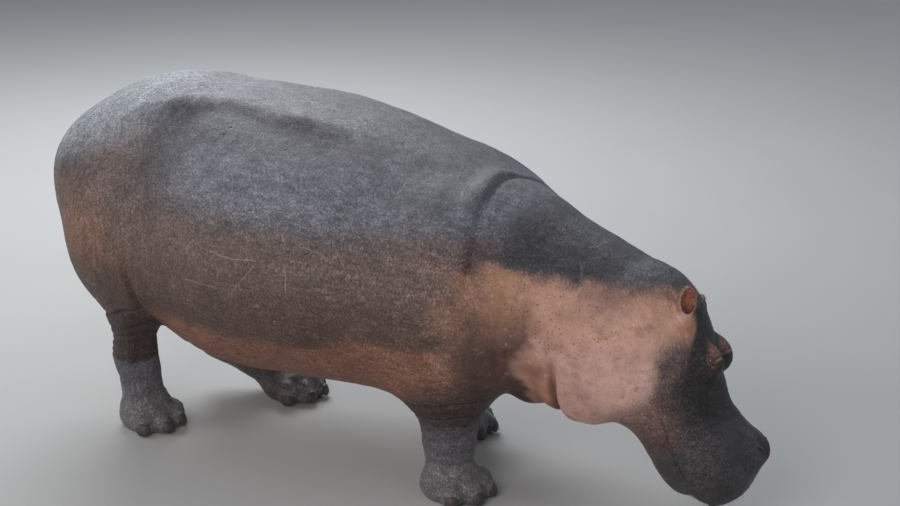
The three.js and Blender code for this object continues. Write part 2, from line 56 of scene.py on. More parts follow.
# side, thigh x, knee x, hock x, foot x, hock z, knee radius, hock radius, hock y, foot y, how far the foot lies ahead
HIND = (
    (-1, -1.015, -1.020, -1.020, -0.990, 0.300, 0.100, 0.085, 0.300, 0.300, 0.030),
    (1, -0.950, -0.980, -0.955, -0.745, 0.235, 0.118, 0.098, 0.200, 0.265, 0.095),
)
# side, shoulder x, wrist x, foot x
FORE = ((-1, 0.42, 0.42, 0.42), (1, 0.30, 0.16, 0.10))
rng = np.random.default_rng(7)


def unit(v):
    v = np.asarray(v, float)
    return v / np.linalg.norm(v)


def head_frame():
    yaw, pitch, lean = (math.radians(a) for a in (HEAD_YAW, HEAD_PITCH, HEAD_LEAN))
    f, z = np.array([math.cos(yaw), math.sin(yaw), 0]), np.array([0, 0, 1.0])
    u = math.cos(pitch) * f - math.sin(pitch) * z
    w = math.sin(pitch) * f + math.cos(pitch) * z
    v = np.cross(w, u)
    return np.array(HEAD_AT), np.stack([u * math.cos(lean) - v * math.sin(lean), v * math.cos(lean) + u * math.sin(lean), w], 1)


H = head_frame()  # columns: along the muzzle, towards the left, towards the top of the head


def in_head(P):
    return (P - H[0]) @ H[1]


def from_head(p):
    return H[0] + H[1] @ np.asarray(p, float)


def ear_frame(s):
    tip = np.array([-0.8, -0.3, 0.52] if s < 0 else [-0.12, 0.93, -0.28])
    mouth = np.array([0.25, -0.9, 0.35] if s < 0 else [0.80, 0.20, 0.55])
    u = unit(H[1] @ tip)
    o = H[1] @ mouth
    w = unit(o - u * (o @ u))
    return from_head([0.072, s * 0.138, 0.100]), np.stack([u, np.cross(w, u), w], 1)


class Field:
    """Rounded forms joined by smooth unions; negative inside."""

    def __init__(self):
        self.forms, self.frame = [], None

    def _world(self, p):
        p = np.array(p, float)
        return p if self.frame is None else self.frame[0] + self.frame[1] @ p

    def ell(self, c, r, k=0.08, rot=(0, 0, 0), cut=False):
        rx, ry, rz = (math.radians(a) for a in rot)
        cx, sx, cy, sy, cz, sz = math.cos(rx), math.sin(rx), math.cos(ry), math.sin(ry), math.cos(rz), math.sin(rz)
        R = (
            np.array([[cz, -sz, 0], [sz, cz, 0], [0, 0, 1]])
            @ np.array([[cy, 0, sy], [0, 1, 0], [-sy, 0, cy]])
            @ np.array([[1, 0, 0], [0, cx, -sx], [0, sx, cx]])
        )
        if self.frame is not None:
            R = self.frame[1] @ R
        self.forms.append(dict(kind="ell", c=self._world(c), r=np.array(r, np.float32), R=R.astype(np.float32), k=k, cut=cut, reach=max(r)))

    def limb(self, a, b, ra, rb, k=0.08, flat=(1, 1, 1)):
        a, b = self._world(a), self._world(b)
        R = np.eye(3) if self.frame is None else self.frame[1]
        self.forms.append(dict(
            kind="limb", a=a, b=b, ra=ra, rb=rb, k=k, cut=False, R=R.astype(np.float32), flat=np.array(flat, np.float32),
            c=(a + b) / 2, reach=np.linalg.norm(b - a) / 2 + max(ra, rb) * max(flat)))

    def __call__(self, P, band=0.16):
        P = np.asarray(P, np.float32)
        F = np.full(len(P), 1.0, np.float32)
        for s in range(0, len(P), 16384):  # points come in order, so each run of them meets only a few forms
            p, f = P[s : s + 16384], F[s : s + 16384]
            lo, hi = p.min(0), p.max(0)
            for q in self.forms:
                gap = np.maximum(np.maximum(lo - q["c"], q["c"] - hi), 0)
                if gap @ gap < (q["reach"] + band) ** 2:
                    self._join(q, p, f, band)
        return F

    def _join(self, q, P, F, band):
        c = q["c"].astype(np.float32)
        far = (P[:, 0] - c[0]) ** 2 + (P[:, 1] - c[1]) ** 2 + (P[:, 2] - c[2]) ** 2
        at = np.nonzero(far < (q["reach"] + band) ** 2)[0]
        if not len(at):
            return
        D, f, k = self._distance(q, P[at]), F[at], q["k"]
        if q["cut"]:
            h = np.maximum(k - np.abs(f + D), 0) / k
            F[at] = np.maximum(f, -D) + h * h * k * 0.25
        else:
            h = np.maximum(k - np.abs(f - D), 0) / k
            F[at] = np.minimum(f, D) - h * h * k * 0.25

    def _distance(self, q, p):
        if q["kind"] == "ell":
            l = (p - q["c"].astype(np.float32)) @ q["R"]
            k0 = np.sqrt(((l / q["r"]) ** 2).sum(1))
            k1 = np.sqrt(((l / (q["r"] * q["r"])) ** 2).sum(1))
            return np.where(k1 > 1e-6, k0 * (k0 - 1) / np.maximum(k1, 1e-6), -q["r"].min())
        R, flat = q["R"], q["flat"]
        a, b, l = (q["a"] @ R) / flat, (q["b"] @ R) / flat, (p @ R) / flat
        a, b = a.astype(np.float32), b.astype(np.float32)
        ab = b - a
        t = np.clip(((l - a) @ ab) / max(float(ab @ ab), 1e-9), 0, 1)
        return (np.sqrt(((l - a - t[:, None] * ab) ** 2).sum(1)) - (q["ra"] + (q["rb"] - q["ra"]) * t)) * float(flat.min())


def foot_forms(F, x, y, r):
    F.ell((x - 0.01, y, 0.045), (r * 0.98, r * 0.92, 0.078), 0.05)
    for a in TOE_ANGLES:
        c, s = math.cos(math.radians(a)), math.sin(math.radians(a))
        F.ell((x - 0.03 + r * 0.95 * c, y + r * 0.88 * s, 0.040), (0.050, 0.042, 0.047), 0.016, (0, 0, a))


def head_forms(F):
    F.frame = H
    F.ell((0.09, 0, 0.0), (0.18, 0.165, 0.13), 0.10)  # cranium
    F.ell((0.23, 0, 0.0), (0.17, 0.125, 0.095), 0.08)  # forehead
    F.limb((0.20, 0, -0.06), (0.52, 0, -0.045), 0.150, 0.132, 0.08, (1, 0.98, 1))  # bridge
    for s in (-1, 1):
        F.ell((0.17, s * 0.115, -0.13), (0.18, 0.10, 0.19), 0.08)  # cheek
        F.ell((0.27, s * 0.130, -0.02), (0.11, 0.055, 0.055), 0.05)  # cheekbone
        F.ell((0.19, s * 0.11, -0.235), (0.15, 0.09, 0.11), 0.08)  # angle of the jaw
        F.limb((0.33, s * 0.105, -0.115), (0.55, s * 0.130, -0.095), 0.080, 0.095, 0.07)  # side of the upper lip
        F.ell((0.26, s * 0.116, 0.090), (0.072, 0.052, 0.060), 0.045)  # orbit
        F.ell((0.565, s * 0.155, -0.055), (0.13, 0.09, 0.125), 0.06)  # swelling over the canine
        F.ell((0.675, s * 0.105, -0.070), (0.085, 0.115, 0.105), 0.05)  # upper lip
        F.ell((0.635, s * 0.085, 0.080), (0.060, 0.050, 0.045), 0.04)  # nostril
    F.ell((0.60, 0, -0.025), (0.155, 0.220, 0.125), 0.07)  # muzzle
    F.ell((0.680, 0, -0.075), (0.070, 0.130, 0.095), 0.05)  # middle of the lip
    F.limb((0.26, 0, -0.205), (0.52, 0, -0.180), 0.12, 0.098, 0.08, (1, 1.15, 0.9))  # lower jaw
    F.ell((0.565, 0, -0.176), (0.13, 0.185, 0.078), 0.05)  # chin
    F.ell((0.06, 0, -0.20), (0.20, 0.19, 0.20), 0.12)  # throat
    F.frame = None


def body_field():
    F = Field()
    F.ell((-0.30, 0, 0.835), (0.92, 0.63, 0.54), 0.1, (0, 4, 0))  # barrel
    F.ell((-0.98, 0, 0.91), (0.47, 0.49, 0.465), 0.20)  # rump
    F.ell((0.30, 0, 0.75), (0.46, 0.46, 0.42), 0.20)  # chest
    F.ell((-1.04, -0.28, 0.79), (0.26, 0.22, 0.34), 0.12)  # thighs
    F.ell((-0.97, 0.28, 0.76), (0.27, 0.22, 0.35), 0.12)
    for s in (-1, 1):
        F.ell((-1.20, s * 0.20, 1.02), (0.20, 0.20, 0.20), 0.12)  # corner of the rump
    F.ell((-0.56, 0.0, 0.53), (0.41, 0.45, 0.228), 0.10)  # rear of the belly
    F.ell((0.38, -0.25, 0.74), (0.27, 0.22, 0.40), 0.15)  # shoulders
    F.ell((0.26, 0.25, 0.74), (0.27, 0.22, 0.40), 0.15)
    F.limb((0.50, 0, 0.80), (1.02, 0, 0.705), 0.36, 0.27, 0.12)  # neck
    F.ell((0.74, 0.0, 0.56), (0.22, 0.20, 0.19), 0.10)  # throat pouch
    for s in (-1, 1):
        F.ell((0.93, s * 0.13 + 0.02, 0.54), (0.19, 0.13, 0.20), 0.08)  # jowl
    F.ell((0.66, -0.07, 0.44), (0.085, 0.075, 0.085), 0.05)  # dewlap
    for s, hx, kx, ax, fx, az, kr, ar, ay, fy, ahead in HIND:
        knee, hock = (kx, s * (ay + 0.30) / 2, 0.48), (ax, s * ay, az)
        F.limb((hx, s * 0.28, 0.76), knee, 0.185, kr, 0.06)
        F.limb(knee, hock, kr, ar, 0.05)
        F.limb(hock, (fx, s * fy, 0.10), ar, 0.082, 0.05)
        foot_forms(F, fx + ahead, s * fy, HIND_FOOT_R)
    for s, sx, wx, fx in FORE:
        y, ex = s * FORE_TRACK, (sx + wx) / 2
        F.limb((sx, s * 0.27, 0.70), (ex, y, 0.45), 0.20, 0.13, 0.12)
        F.limb((ex, y, 0.47), (wx, y, 0.24), 0.128, 0.092, 0.07)
        F.limb((wx, y, 0.24), (fx, y, 0.11), 0.09, 0.09, 0.06)
        foot_forms(F, fx + 0.03, y, FORE_FOOT_R)
    head_forms(F)
    F.limb((-1.395, 0, 1.13), (-1.470, 0, 1.00), 0.062, 0.048, 0.04, (0.9, 1.15, 1))  # tail
    F.limb((-1.470, 0, 1.00), (-1.500, 0, 0.86), 0.048, 0.032, 0.04, (0.8, 1.15, 1))
    F.limb((-1.500, 0, 0.86), (-1.498, 0, 0.71), 0.032, 0.017, 0.04, (0.7, 1.2, 1))
    for s in (-1, 1):
        F.frame = ear_frame(s)
        F.limb((-0.025, 0, -0.004), (0.03, 0, -0.006), 0.030, 0.028, 0.025)
        F.ell((0.055, 0, 0), (0.062, 0.036, 0.023), 0.03)
        F.ell((0.062, 0, 0.020), (0.050, 0.027, 0.026), 0.008, cut=True)
        F.frame = None
        F.ell(from_head((EYE_AT[0], s * EYE_AT[1], EYE_AT[2])), (0.0255, 0.0255, 0.0255), 0.016)  # lids
    return F


body = body_field()
skin_field = lambda P: np.maximum(body(P), -np.asarray(P, np.float32)[:, 2])


# ------------------------------------------------------------------ meshing the field
def axis(*runs):
    """Grid lines: (start, step) pairs, with the last start closing the axis."""
    out = [np.array([runs[0][0]])]
    for (a, h), (b, _) in zip(runs, runs[1:]):
        n = max(1, round((b - a) / h))
        out.append(a + (b - a) * np.arange(1, n + 1) / n)
    return np.concatenate(out)


def padded(a, m):
    extra = (-(len(a) - 1)) % m
    return np.concatenate([a, a[-1] + (a[-1] - a[-2]) * np.arange(1, extra + 1)]).astype(np.float32)


def surface_nets(fn, ax, block=4):
    ax = [padded(a, block) for a in ax]
    n = [len(a) for a in ax]
    C = fn(np.stack(np.meshgrid(*[a[::block] for a in ax], indexing="ij"), -1).reshape(-1, 3)).reshape([(k - 1) // block + 1 for k in n])
    V = C
    for i in range(3):
        V = np.repeat(V, block, i)
    V = V[: n[0], : n[1], : n[2]].copy()
    near = np.abs(C) < 0.045
    for i in range(3):
        a, b = [slice(None)] * 3, [slice(None)] * 3
        a[i], b[i] = slice(1, None), slice(0, -1)
        grown = near.copy()
        grown[tuple(b)] |= near[tuple(a)]
        near = grown
    for i in range(3):
        near = np.repeat(near, block, i)
    I = np.nonzero(near[: n[0], : n[1], : n[2]])
    got = np.empty(len(I[0]), np.float32)
    for s in range(0, len(got), 500000):
        c = slice(s, s + 500000)
        got[c] = fn(np.stack([ax[0][I[0][c]], ax[1][I[1][c]], ax[2][I[2][c]]], -1))
    V[I] = got
    S = V < 0
    corners = [(i, j, k) for i in (0, 1) for j in (0, 1) for k in (0, 1)]
    count = np.zeros([k - 1 for k in n], np.uint8)
    for i, j, k in corners:
        count += S[i : n[0] - 1 + i, j : n[1] - 1 + j, k : n[2] - 1 + k]
    A = np.stack(np.nonzero((count > 0) & (count < 8)), -1)
    index = np.full(count.shape, -1, np.int64)
    index[tuple(A.T)] = np.arange(len(A))
    total, hits = np.zeros((len(A), 3)), np.zeros(len(A))
    low = np.stack([ax[i][A[:, i]] for i in range(3)], -1)
    size = np.stack([ax[i][A[:, i] + 1] - ax[i][A[:, i]] for i in range(3)], -1)
    for p in corners:
        for i in range(3):
            if p[i]:
                continue
            q = list(p)
            q[i] = 1
            v0, v1 = V[A[:, 0] + p[0], A[:, 1] + p[1], A[:, 2] + p[2]], V[A[:, 0] + q[0], A[:, 1] + q[1], A[:, 2] + q[2]]
            m = (v0 < 0) != (v1 < 0)
            e = np.tile(np.array(p, float), (len(A), 1))
            e[:, i] += np.where(m, v0 / np.where(m, v0 - v1, 1), 0)
            total += e * m[:, None]
            hits += m
    points = low + size * total / hits[:, None]
    quads = []
    for a in range(3):
        b, c = (a + 1) % 3, (a + 2) % 3
        s0 = [slice(0, k) for k in n]
        s1 = list(s0)
        s0[a], s1[a] = slice(0, n[a] - 1), slice(1, n[a])
        X = S[tuple(s0)]
        E = np.stack(np.nonzero(X != S[tuple(s1)]), -1)
        E = E[(E[:, b] > 0) & (E[:, c] > 0) & (E[:, b] < n[b] - 1) & (E[:, c] < n[c] - 1)]
        f = X[E[:, 0], E[:, 1], E[:, 2]]

        def at(db, dc):
            q = E.copy()
            q[:, b] -= db
            q[:, c] -= dc
            return index[q[:, 0], q[:, 1], q[:, 2]]

        Q = np.stack([at(1, 1), at(0, 1), at(0, 0), at(1, 0)], -1)
        Q[~f] = Q[~f][:, ::-1]
        quads.append(Q)
    return points, np.concatenate(quads)


def gradient(P, e=6e-4):
    g = np.empty((len(P), 3), np.float32)
    for i in range(3):
        o = np.zeros(3)
        o[i] = e
        g[:, i] = (skin_field(P + o) - skin_field(P - o)) / (2 * e)
    return g


def settle(P, steps=2, most=0.006):
    for _ in range(steps):
        g = gradient(P)
        f = skin_field(P)
        move = -f[:, None] * g / np.maximum((g * g).sum(1), 0.15)[:, None]
        size = np.linalg.norm(move, axis=1)
        P = P + move * np.minimum(1, most / np.maximum(size, 1e-9))[:, None]
    return P


def mean_of_neighbours(P, E):
    n = len(P)
    k = np.bincount(E[:, 0], minlength=n) + np.bincount(E[:, 1], minlength=n)
    out = np.empty_like(P)
    for i in range(P.shape[1]):
        out[:, i] = np.bincount(E[:, 0], P[E[:, 1], i], n) + np.bincount(E[:, 1], P[E[:, 0], i], n)
    return out / np.maximum(k, 1)[:, None]


def edges_of(Q):
    E = np.sort(np.concatenate([Q[:, [0, 1]], Q[:, [1, 2]], Q[:, [2, 3]], Q[:, [3, 0]]]), 1)
    return np.unique(E, axis=0)


def refine(P, Q, rest, mask):
    """Splits each masked quad in four; its unmasked neighbours take the new points on their edges and become many-sided."""
    R, K = Q[mask], Q[~mask]
    n = len(P)
    side = np.stack([R, np.roll(R, -1, 1)], -1)
    key = lambda e: np.minimum(e[..., 0], e[..., 1]) * n + np.maximum(e[..., 0], e[..., 1])
    found, inverse = np.unique(key(side).reshape(-1), return_inverse=True)
    mid = (n + inverse).reshape(-1, 4)
    middle = n + len(found) + np.arange(len(R))
    P = np.concatenate([P, (P[found // n] + P[found % n]) / 2, P[R].mean(1)])
    new = np.concatenate([np.stack([R[:, i], mid[:, i], middle, mid[:, i - 1]], -1) for i in range(4)])
    ks = key(np.stack([K, np.roll(K, -1, 1)], -1))
    where = np.minimum(np.searchsorted(found, ks), len(found) - 1)
    hit = found[where] == ks
    touched = hit.any(1)
    rest = list(rest)
    for q, h, w in zip(K[touched], hit[touched], where[touched]):
        face = []
        for i in range(4):
            face.append(int(q[i]))
            if h[i]:
                face.append(int(n + w[i]))
        rest.append(face)
    return P, np.concatenate([K[~touched], new]), rest


# ------------------------------------------------------------------ helpers for shapes and markings
def smooth(x, a, b):
    t = np.clip((x - a) / (b - a), 0, 1)
    return t * t * (3 - 2 * t)


def bell(x, width):
    return np.exp(-((x / width) ** 2))


def noise(P, scale, seed=0):
    """Smooth noise from -1 to 1, whose grain is `scale` metres (one number or one for each axis)."""
    p = P / np.asarray(scale, float)
    low = np.floor(p)
    f = (p - low).astype(np.float32)
    f = f * f * f * (f * (f * 6 - 15) + 10)
    low = low.astype(np.int64)
    primes = (374761393, 668265263, 3266489917)
    part = [[((low[:, i] + e) * primes[i] & 0xFFFFFFFF).astype(np.uint32) for e in (0, 1)] for i in range(3)]
    weight = [[1 - f[:, i], f[:, i]] for i in range(3)]
    start = np.uint32((seed * 974634777 + 12345) & 0xFFFFFFFF)
    out = np.zeros(len(P), np.float32)
    for a in (0, 1):
        for b in (0, 1):
            ab, wab = part[0][a] + part[1][b] + start, weight[0][a] * weight[1][b]
            for c in (0, 1):
                h = ab + part[2][c]
                h ^= h >> np.uint32(13)
                h *= np.uint32(1274126177)
                h ^= h >> np.uint32(16)
                out += wab * weight[2][c] * (h & np.uint32(0xFFFF)).astype(np.float32)
    return out * (2 / 65535.0) - 1


def net(P, scale, sharp, seed=0):
    """Thin creases: 1 along the noise's zero lines, falling to 0."""
    return np.clip(1 - sharp * np.abs(noise(P, scale, seed)), 0, 1)


# ------------------------------------------------------------------ the skin's shape
COARSER = 1.0
GRID = [
    axis((-1.60, 0.009 * COARSER), (0.85, 0.0052 * COARSER), (1.66, 0)),
    axis((-0.68, 0.008 * COARSER), (-0.30, 0.0055 * COARSER), (0.30, 0.008 * COARSER), (0.68, 0)),
    axis((-0.013, 0.0062 * COARSER), (1.42, 0)),
]
EYES = []
for s in (-1, 1):
    c = from_head((EYE_AT[0], s * EYE_AT[1], EYE_AT[2]))
    o = H[1] @ unit([0.12, s * 0.90, 0.36])
    a = unit(H[1][:, 0] - o * (H[1][:, 0] @ o))
    b = np.cross(o, a)
    EYES.append((s, c, o, a, b if b @ H[1][:, 2] > 0 else -b))


def eye_opening(P, eye):
    """Distance outside the almond between the lids (negative within), and the point about the eye: along, up, out."""
    s, c, o, a, b = eye
    d = P - c
    A, B, O = d @ a, d @ b, d @ o
    arch = 1 - np.minimum(1, np.abs(A) / 0.0175) ** 2
    G = np.where(B > 0, B - 0.0098 * arch, -B - 0.0070 * arch)
    return np.where(np.abs(A) > 0.0175, np.hypot(np.abs(A) - 0.0175, B), G), A, B, O, np.linalg.norm(d, axis=1)


NOSTRILS = []
for s in (-1, 1):
    NOSTRILS.append((s, np.array([0.652, s * 0.088, 0.118]), unit([-0.80, s * 0.60, 0.0])))


def nostril_slit(L, nostril):
    s, c, t = nostril
    d = L - c
    T = d @ t
    side = d @ np.array([t[1], -t[0], 0]) * -s
    G = np.abs(side - 0.008 * (1 - (T / 0.028) ** 2)) - 0.0055 * (1 - (np.clip(T, -0.05, 0.05) / 0.030) ** 2)
    return G, T, d[:, 2]


def mouth_height(u):
    """Height of the mouth line along the head: up at the corner, down over the canine's swelling, level in front."""
    return np.interp(u, [0.28, 0.32, 0.37, 0.44, 0.52, 0.60, 0.68, 0.74], [-0.100, -0.118, -0.136, -0.147, -0.152, -0.148, -0.136, -0.128])


LEGS = []
for s, hx, kx, ax_, fx, az_, kr, ar, ay, fy, ahead in HIND:
    LEGS.append(("hind", [0.10, az_, 0.48], [fx, ax_, kx], [s * fy, s * ay, s * (ay + 0.30) / 2], fx + ahead, s * fy))
for s, sx, wx, fx in FORE:
    LEGS.append(("fore", [0.11, 0.24, 0.47], [fx, wx, (sx + wx) / 2], [s * FORE_TRACK] * 3, fx + 0.03, s * FORE_TRACK))


def fold_x(z):
    """Where the fold between neck and shoulder runs, down from the crest."""
    return np.interp(z, [0.60, 0.75, 0.90, 0.99, 1.05, 1.115, 1.156, 1.18, 1.20], [0.50, 0.545, 0.567, 0.570, 0.568, 0.548, 0.528, 0.511, 0.496])


def ear_local(P, s):
    O, M = ear_frame(s)
    return (P - O) @ M


def near_details(P):
    """Where the mesh is made finer: lids, nostrils, lips, ears and toes."""
    L = in_head(P)
    m = np.zeros(len(P), bool)
    for e in EYES:
        m |= np.linalg.norm(P - e[1], axis=1) < 0.060
    for n in NOSTRILS:
        m |= np.linalg.norm(L - n[1], axis=1) < 0.058
    m |= (L[:, 0] > 0.24) & (np.abs(L[:, 2] - mouth_height(L[:, 0])) < 0.020) & (P[:, 0] > 1.0)
    for s in (-1, 1):
        E = ear_local(P, s)
        m |= (E[:, 0] > -0.03) & (np.linalg.norm(E - [0.05, 0, 0], axis=1) < 0.085)
    for kind, zs, xs, ys, fx, y in LEGS:
        m |= (P[:, 2] < 0.085) & (P[:, 2] > 0.002) & (P[:, 0] > fx) & (np.hypot(P[:, 0] - fx, P[:, 1] - y) < 0.22)
    return m


def by_eyes(P):
    m = np.zeros(len(P), bool)
    for e in EYES:
        m |= np.linalg.norm(P - e[1], axis=1) < 0.034
    return m


def make_skin():
    P, Q = surface_nets(skin_field, GRID)
    E = edges_of(Q)
    for _ in range(3):
        P = settle(P + 0.5 * (mean_of_neighbours(P, E) - P), 1)
    rest = []
    for where in (near_details, by_eyes):
        n = len(P)
        P, Q, rest = refine(P, Q, rest, where(P[Q].mean(1)))
        P[n:] = settle(P[n:], 2)
    N = gradient(P)
    N /= np.maximum(np.linalg.norm(N, axis=1), 1e-6)[:, None]
    return P, Q, rest, N


def leg_parts(P):
    """For each leg: how far in it a point is (0 to 1), its place about the leg's axis, and its height."""
    out = []
    for kind, zs, xs, ys, fx, y in LEGS:
        dx, dy = P[:, 0] - np.interp(P[:, 2], zs, xs), P[:, 1] - np.interp(P[:, 2], zs, ys)
        out.append((kind, (1 - smooth(np.hypot(dx, dy), 0.15, 0.21)) * (1 - smooth(P[:, 2], 0.50, 0.62)), dx, dy))
    return out


def relief(P, N):
    """Moves the smooth skin into its folds, creases, lids, nostrils and lips."""
    x, y, z = P.T
    L = in_head(P)
    u, v, w = L.T
    head = smooth(x, 1.0, 1.15)
    legs = leg_parts(P)
    leg = np.max([l[1] for l in legs], 0)
    trunk = (1 - smooth(x, 0.95, 1.15)) * (1 - leg)
    d = np.zeros(len(P))
    wob = noise(P, 0.09, 11)
    # soft unevenness of flesh over the frame
    d += trunk * (0.0030 * noise(P, 0.16, 1) + 0.0010 * noise(P, 0.06, 2))
    d += 0.0006 * noise(P, 0.030, 3) * (1 - head * 0.5)
    # the hollow that runs along the loin below the hip's crest
    t = np.abs(y) - np.interp(x, [-1.15, -1.05, -0.97, -0.89, -0.82, -0.75, -0.68, -0.59, -0.48, -0.38, 0.1], [0.45, 0.388, 0.345, 0.307, 0.274, 0.245, 0.225, 0.22, 0.24, 0.262, 0.25])
    on = smooth(x, -1.18, -1.02) * (1 - smooth(x, -0.25, 0.10)) * smooth(N[:, 2], 0.0, 0.35)
    d += on * (-0.014 * np.where(t < 0, bell(t, 0.040), bell(t, 0.125)) + 0.007 * bell(t + 0.085, 0.045))
    d += 0.013 * bell(x + 0.60, 0.11) * smooth(N[:, 2], 0.75, 0.95) * (x < 0)
    # creases in the hide: long ones that run down the flank, and a finer net
    flank = trunk * smooth(np.abs(N[:, 1]), 0.15, 0.6)
    P_ = P + 0.012 * np.stack([noise(P, 0.10, 6), noise(P, 0.10, 7), noise(P, 0.10, 8)], 1)
    d -= 0.0011 * flank * net(P_, (0.040, 0.08, 0.17), 7, 4)
    d -= 0.0006 * (1 - head) * net(P_, (0.019, 0.022, 0.032), 5, 5)
    d -= 0.0005 * (1 - head) * net(P_, (0.034, 0.019, 0.024), 6, 9)
    hip = np.exp(-(((x + 0.66) / 0.20) ** 2 + ((z - 1.22) / 0.10) ** 2)) * smooth(N[:, 2], 0.2, 0.5)
    d -= 0.0024 * hip * net(P_, (0.016, 0.040, 0.05), 5, 14)
    # the fold where the shoulder overlaps the neck
    t = x - fold_x(z) - 0.006 * noise(P, 0.12, 12)
    on = smooth(z, 0.80, 1.00) * (1 - smooth(np.abs(t), 0.10, 0.2)) * (N[:, 2] > -0.5)
    d += on * (-0.013 * bell(t, 0.011) + 0.010 * (1 - 1.5 * smooth(y, 0.0, 0.14)) * bell(t + 0.035, 0.030) - 0.006 * bell(t - 0.035, 0.035))
    # slack folds down the side of the neck, and behind the jowl
    for x0, lean, depth, low, high in ((0.665, 0.10, 0.0035, 0.55, 0.95), (0.755, 0.12, 0.004, 0.45, 0.85), (0.965, 0.10, 0.0025, 0.5, 0.86)):
        t = x - x0 - lean * (z - 0.6) - 0.012 * wob
        d -= depth * bell(t, 0.010) * smooth(z, low - 0.04, low + 0.06) * (1 - smooth(z, high - 0.12, high)) * trunk_neck(x)
    # the flap under the throat, parted from the jowl by a deep crease
    t = x - 0.842 - 0.10 * (z - 0.47) - 0.006 * wob
    on = (1 - smooth(z, 0.50, 0.66)) * smooth(x, 0.55, 0.70)
    d += on * (-0.020 * bell(t, 0.013) + 0.010 * bell(t + 0.050, 0.032) + 0.007 * bell(t - 0.040, 0.030))
    # the soft fold where the thigh meets the flank
    t = x - np.interp(z, [0.50, 0.56, 0.62, 0.78], [-0.913, -0.900, -0.898, -0.892]) - 0.08 * (y > 0) - 0.008 * wob
    on = smooth(z, 0.46, 0.54) * (1 - smooth(z, 0.64, 0.84)) * smooth(np.abs(y), 0.34, 0.42)
    d += on * (-0.012 * bell(t, 0.012) + 0.006 * bell(t - 0.04, 0.03) + 0.004 * bell(t + 0.04, 0.03))
    # shins are flat in front
    for (kind, m, dx, dy) in legs:
        if kind == "hind":
            d -= 0.013 * m * smooth(N[:, 0], 0.2, 0.8) * smooth(z, 0.22, 0.30) * (1 - smooth(z, 0.44, 0.54))
    # rings round the legs
    for (kind, m, dx, dy) in legs:
        rings = ((0.505, 0.0100, 0.30), (0.435, 0.0030, 0.15), (0.398, 0.0042, 0.10), (0.366, 0.0036, 0.06), (0.338, 0.0034, 0.03), (0.312, 0.0046, 0.0), (0.205, 0.0022, -0.1), (0.165, 0.0020, -0.15)) if kind == "hind" else (
            (0.40, 0.0060, 0.15), (0.345, 0.0040, 0.08), (0.308, 0.0046, 0.02), (0.245, 0.0026, 0.0), (0.190, 0.0026, -0.1), (0.160, 0.0018, -0.15))
        for z0, depth, slope in rings:
            t = z - z0 - slope * dx - 0.010 * noise(P, 0.07, 21) - 0.004 * noise(P, 0.03, 22)
            d -= m * depth * bell(t, 0.0065)
        d -= m * 0.0012 * net(P, (0.03, 0.03, 0.018), 5, 24)
    # face: folds across the bridge, behind the mouth corner and over the cheek
    face = head * smooth(u, 0.28, 0.36) * (1 - smooth(u, 0.52, 0.60)) * smooth(w, -0.02, 0.04)
    d -= face * 0.0018 * net(L, (0.022, 0.09, 0.06), 5, 31)
    cheek = head * (1 - smooth(u, 0.30, 0.42))
    d -= cheek * 0.0016 * net(L, (0.045, 0.05, 0.022), 5, 32)
    d += head * 0.0014 * noise(L, 0.04, 33)
    for u0, depth in ((0.235, 0.0025), (0.195, 0.002)):
        t = u - u0 - 0.30 * (w + 0.12) - 0.006 * noise(L, 0.05, 34)
        d -= head * depth * bell(t, 0.006) * smooth(w, -0.22, -0.16) * (1 - smooth(w, -0.10, -0.03)) * smooth(np.abs(v), 0.08, 0.13)
    # mouth line, with the upper lip hanging over the lower
    t = w - mouth_height(u)
    lips = head * smooth(u, 0.31, 0.50)
    under = smooth(-t, 0.0, 0.010) * (1 - smooth(-t, 0.05, 0.09))
    d -= lips * (0.011 * bell(t, 0.0045) + 0.007 * under - 0.003 * bell(t - 0.012, 0.008))
    # nostrils
    for n in NOSTRILS:
        G, T, up = nostril_slit(L, n)
        on = head * (up > -0.05) * (np.abs(T) < 0.06)
        d += on * (0.0050 * bell(G - 0.009, 0.008) * (1 - smooth(np.abs(T), 0.03, 0.05)) - 0.015 * (1 - smooth(G, -0.0025, 0.0015)))
    # ears: a ridge in the cup
    for s in (-1, 1):
        E = ear_local(P, s)
        on = (np.abs(E[:, 1]) < 0.05) & (E[:, 0] > -0.01) & (E[:, 0] < 0.12) & (E[:, 2] > -0.004)
        d += on * 0.0018 * bell(E[:, 1] - 0.006, 0.004) * smooth(E[:, 0], 0.01, 0.03) * (1 - smooth(E[:, 0], 0.06, 0.085))
    # cuticles round the nails
    for c, out, across, up in NAILS:
        q = P - c
        a, b = q @ across / NAIL_HALF[1], q @ up / NAIL_HALF[2]
        r = np.hypot(a, b)
        on = np.linalg.norm(q, axis=1) < 0.05
        d += on * (0.0030 * bell(r - 1.22, 0.16) * smooth(b, -0.7, 0.1) - 0.003 * (1 - smooth(r, 0.85, 1.0)))
    d *= smooth(z, 0.0, 0.012)
    P = P + N * d[:, None]
    # lids: folds round the eye, then the almond opening sinks under the ball
    for e in EYES:
        G, A, B, O, R = eye_opening(P, e)
        c = e[1]
        on = (R < 0.075) & (O > -0.03)
        fold = -0.0019 * bell(G - 0.0075, 0.0018) - 0.0017 * bell(G - 0.0145, 0.0022) - 0.0012 * bell(G - 0.022, 0.0026) + 0.0010 * bell(G - 0.0025, 0.002)
        open_ = on & (O > 0)
        inside = 1 - smooth(G, -0.0014, 0.0006)
        r = np.where(on, R + fold * (1 - smooth(R, 0.05, 0.07)), R)
        r = np.where(open_, r * (1 - inside) + 0.0178 * inside, r)
        P = np.where(on[:, None], c + (P - c) * (r / np.maximum(R, 1e-6))[:, None], P)
    return P


def trunk_neck(x):
    return smooth(x, 0.5, 0.6)


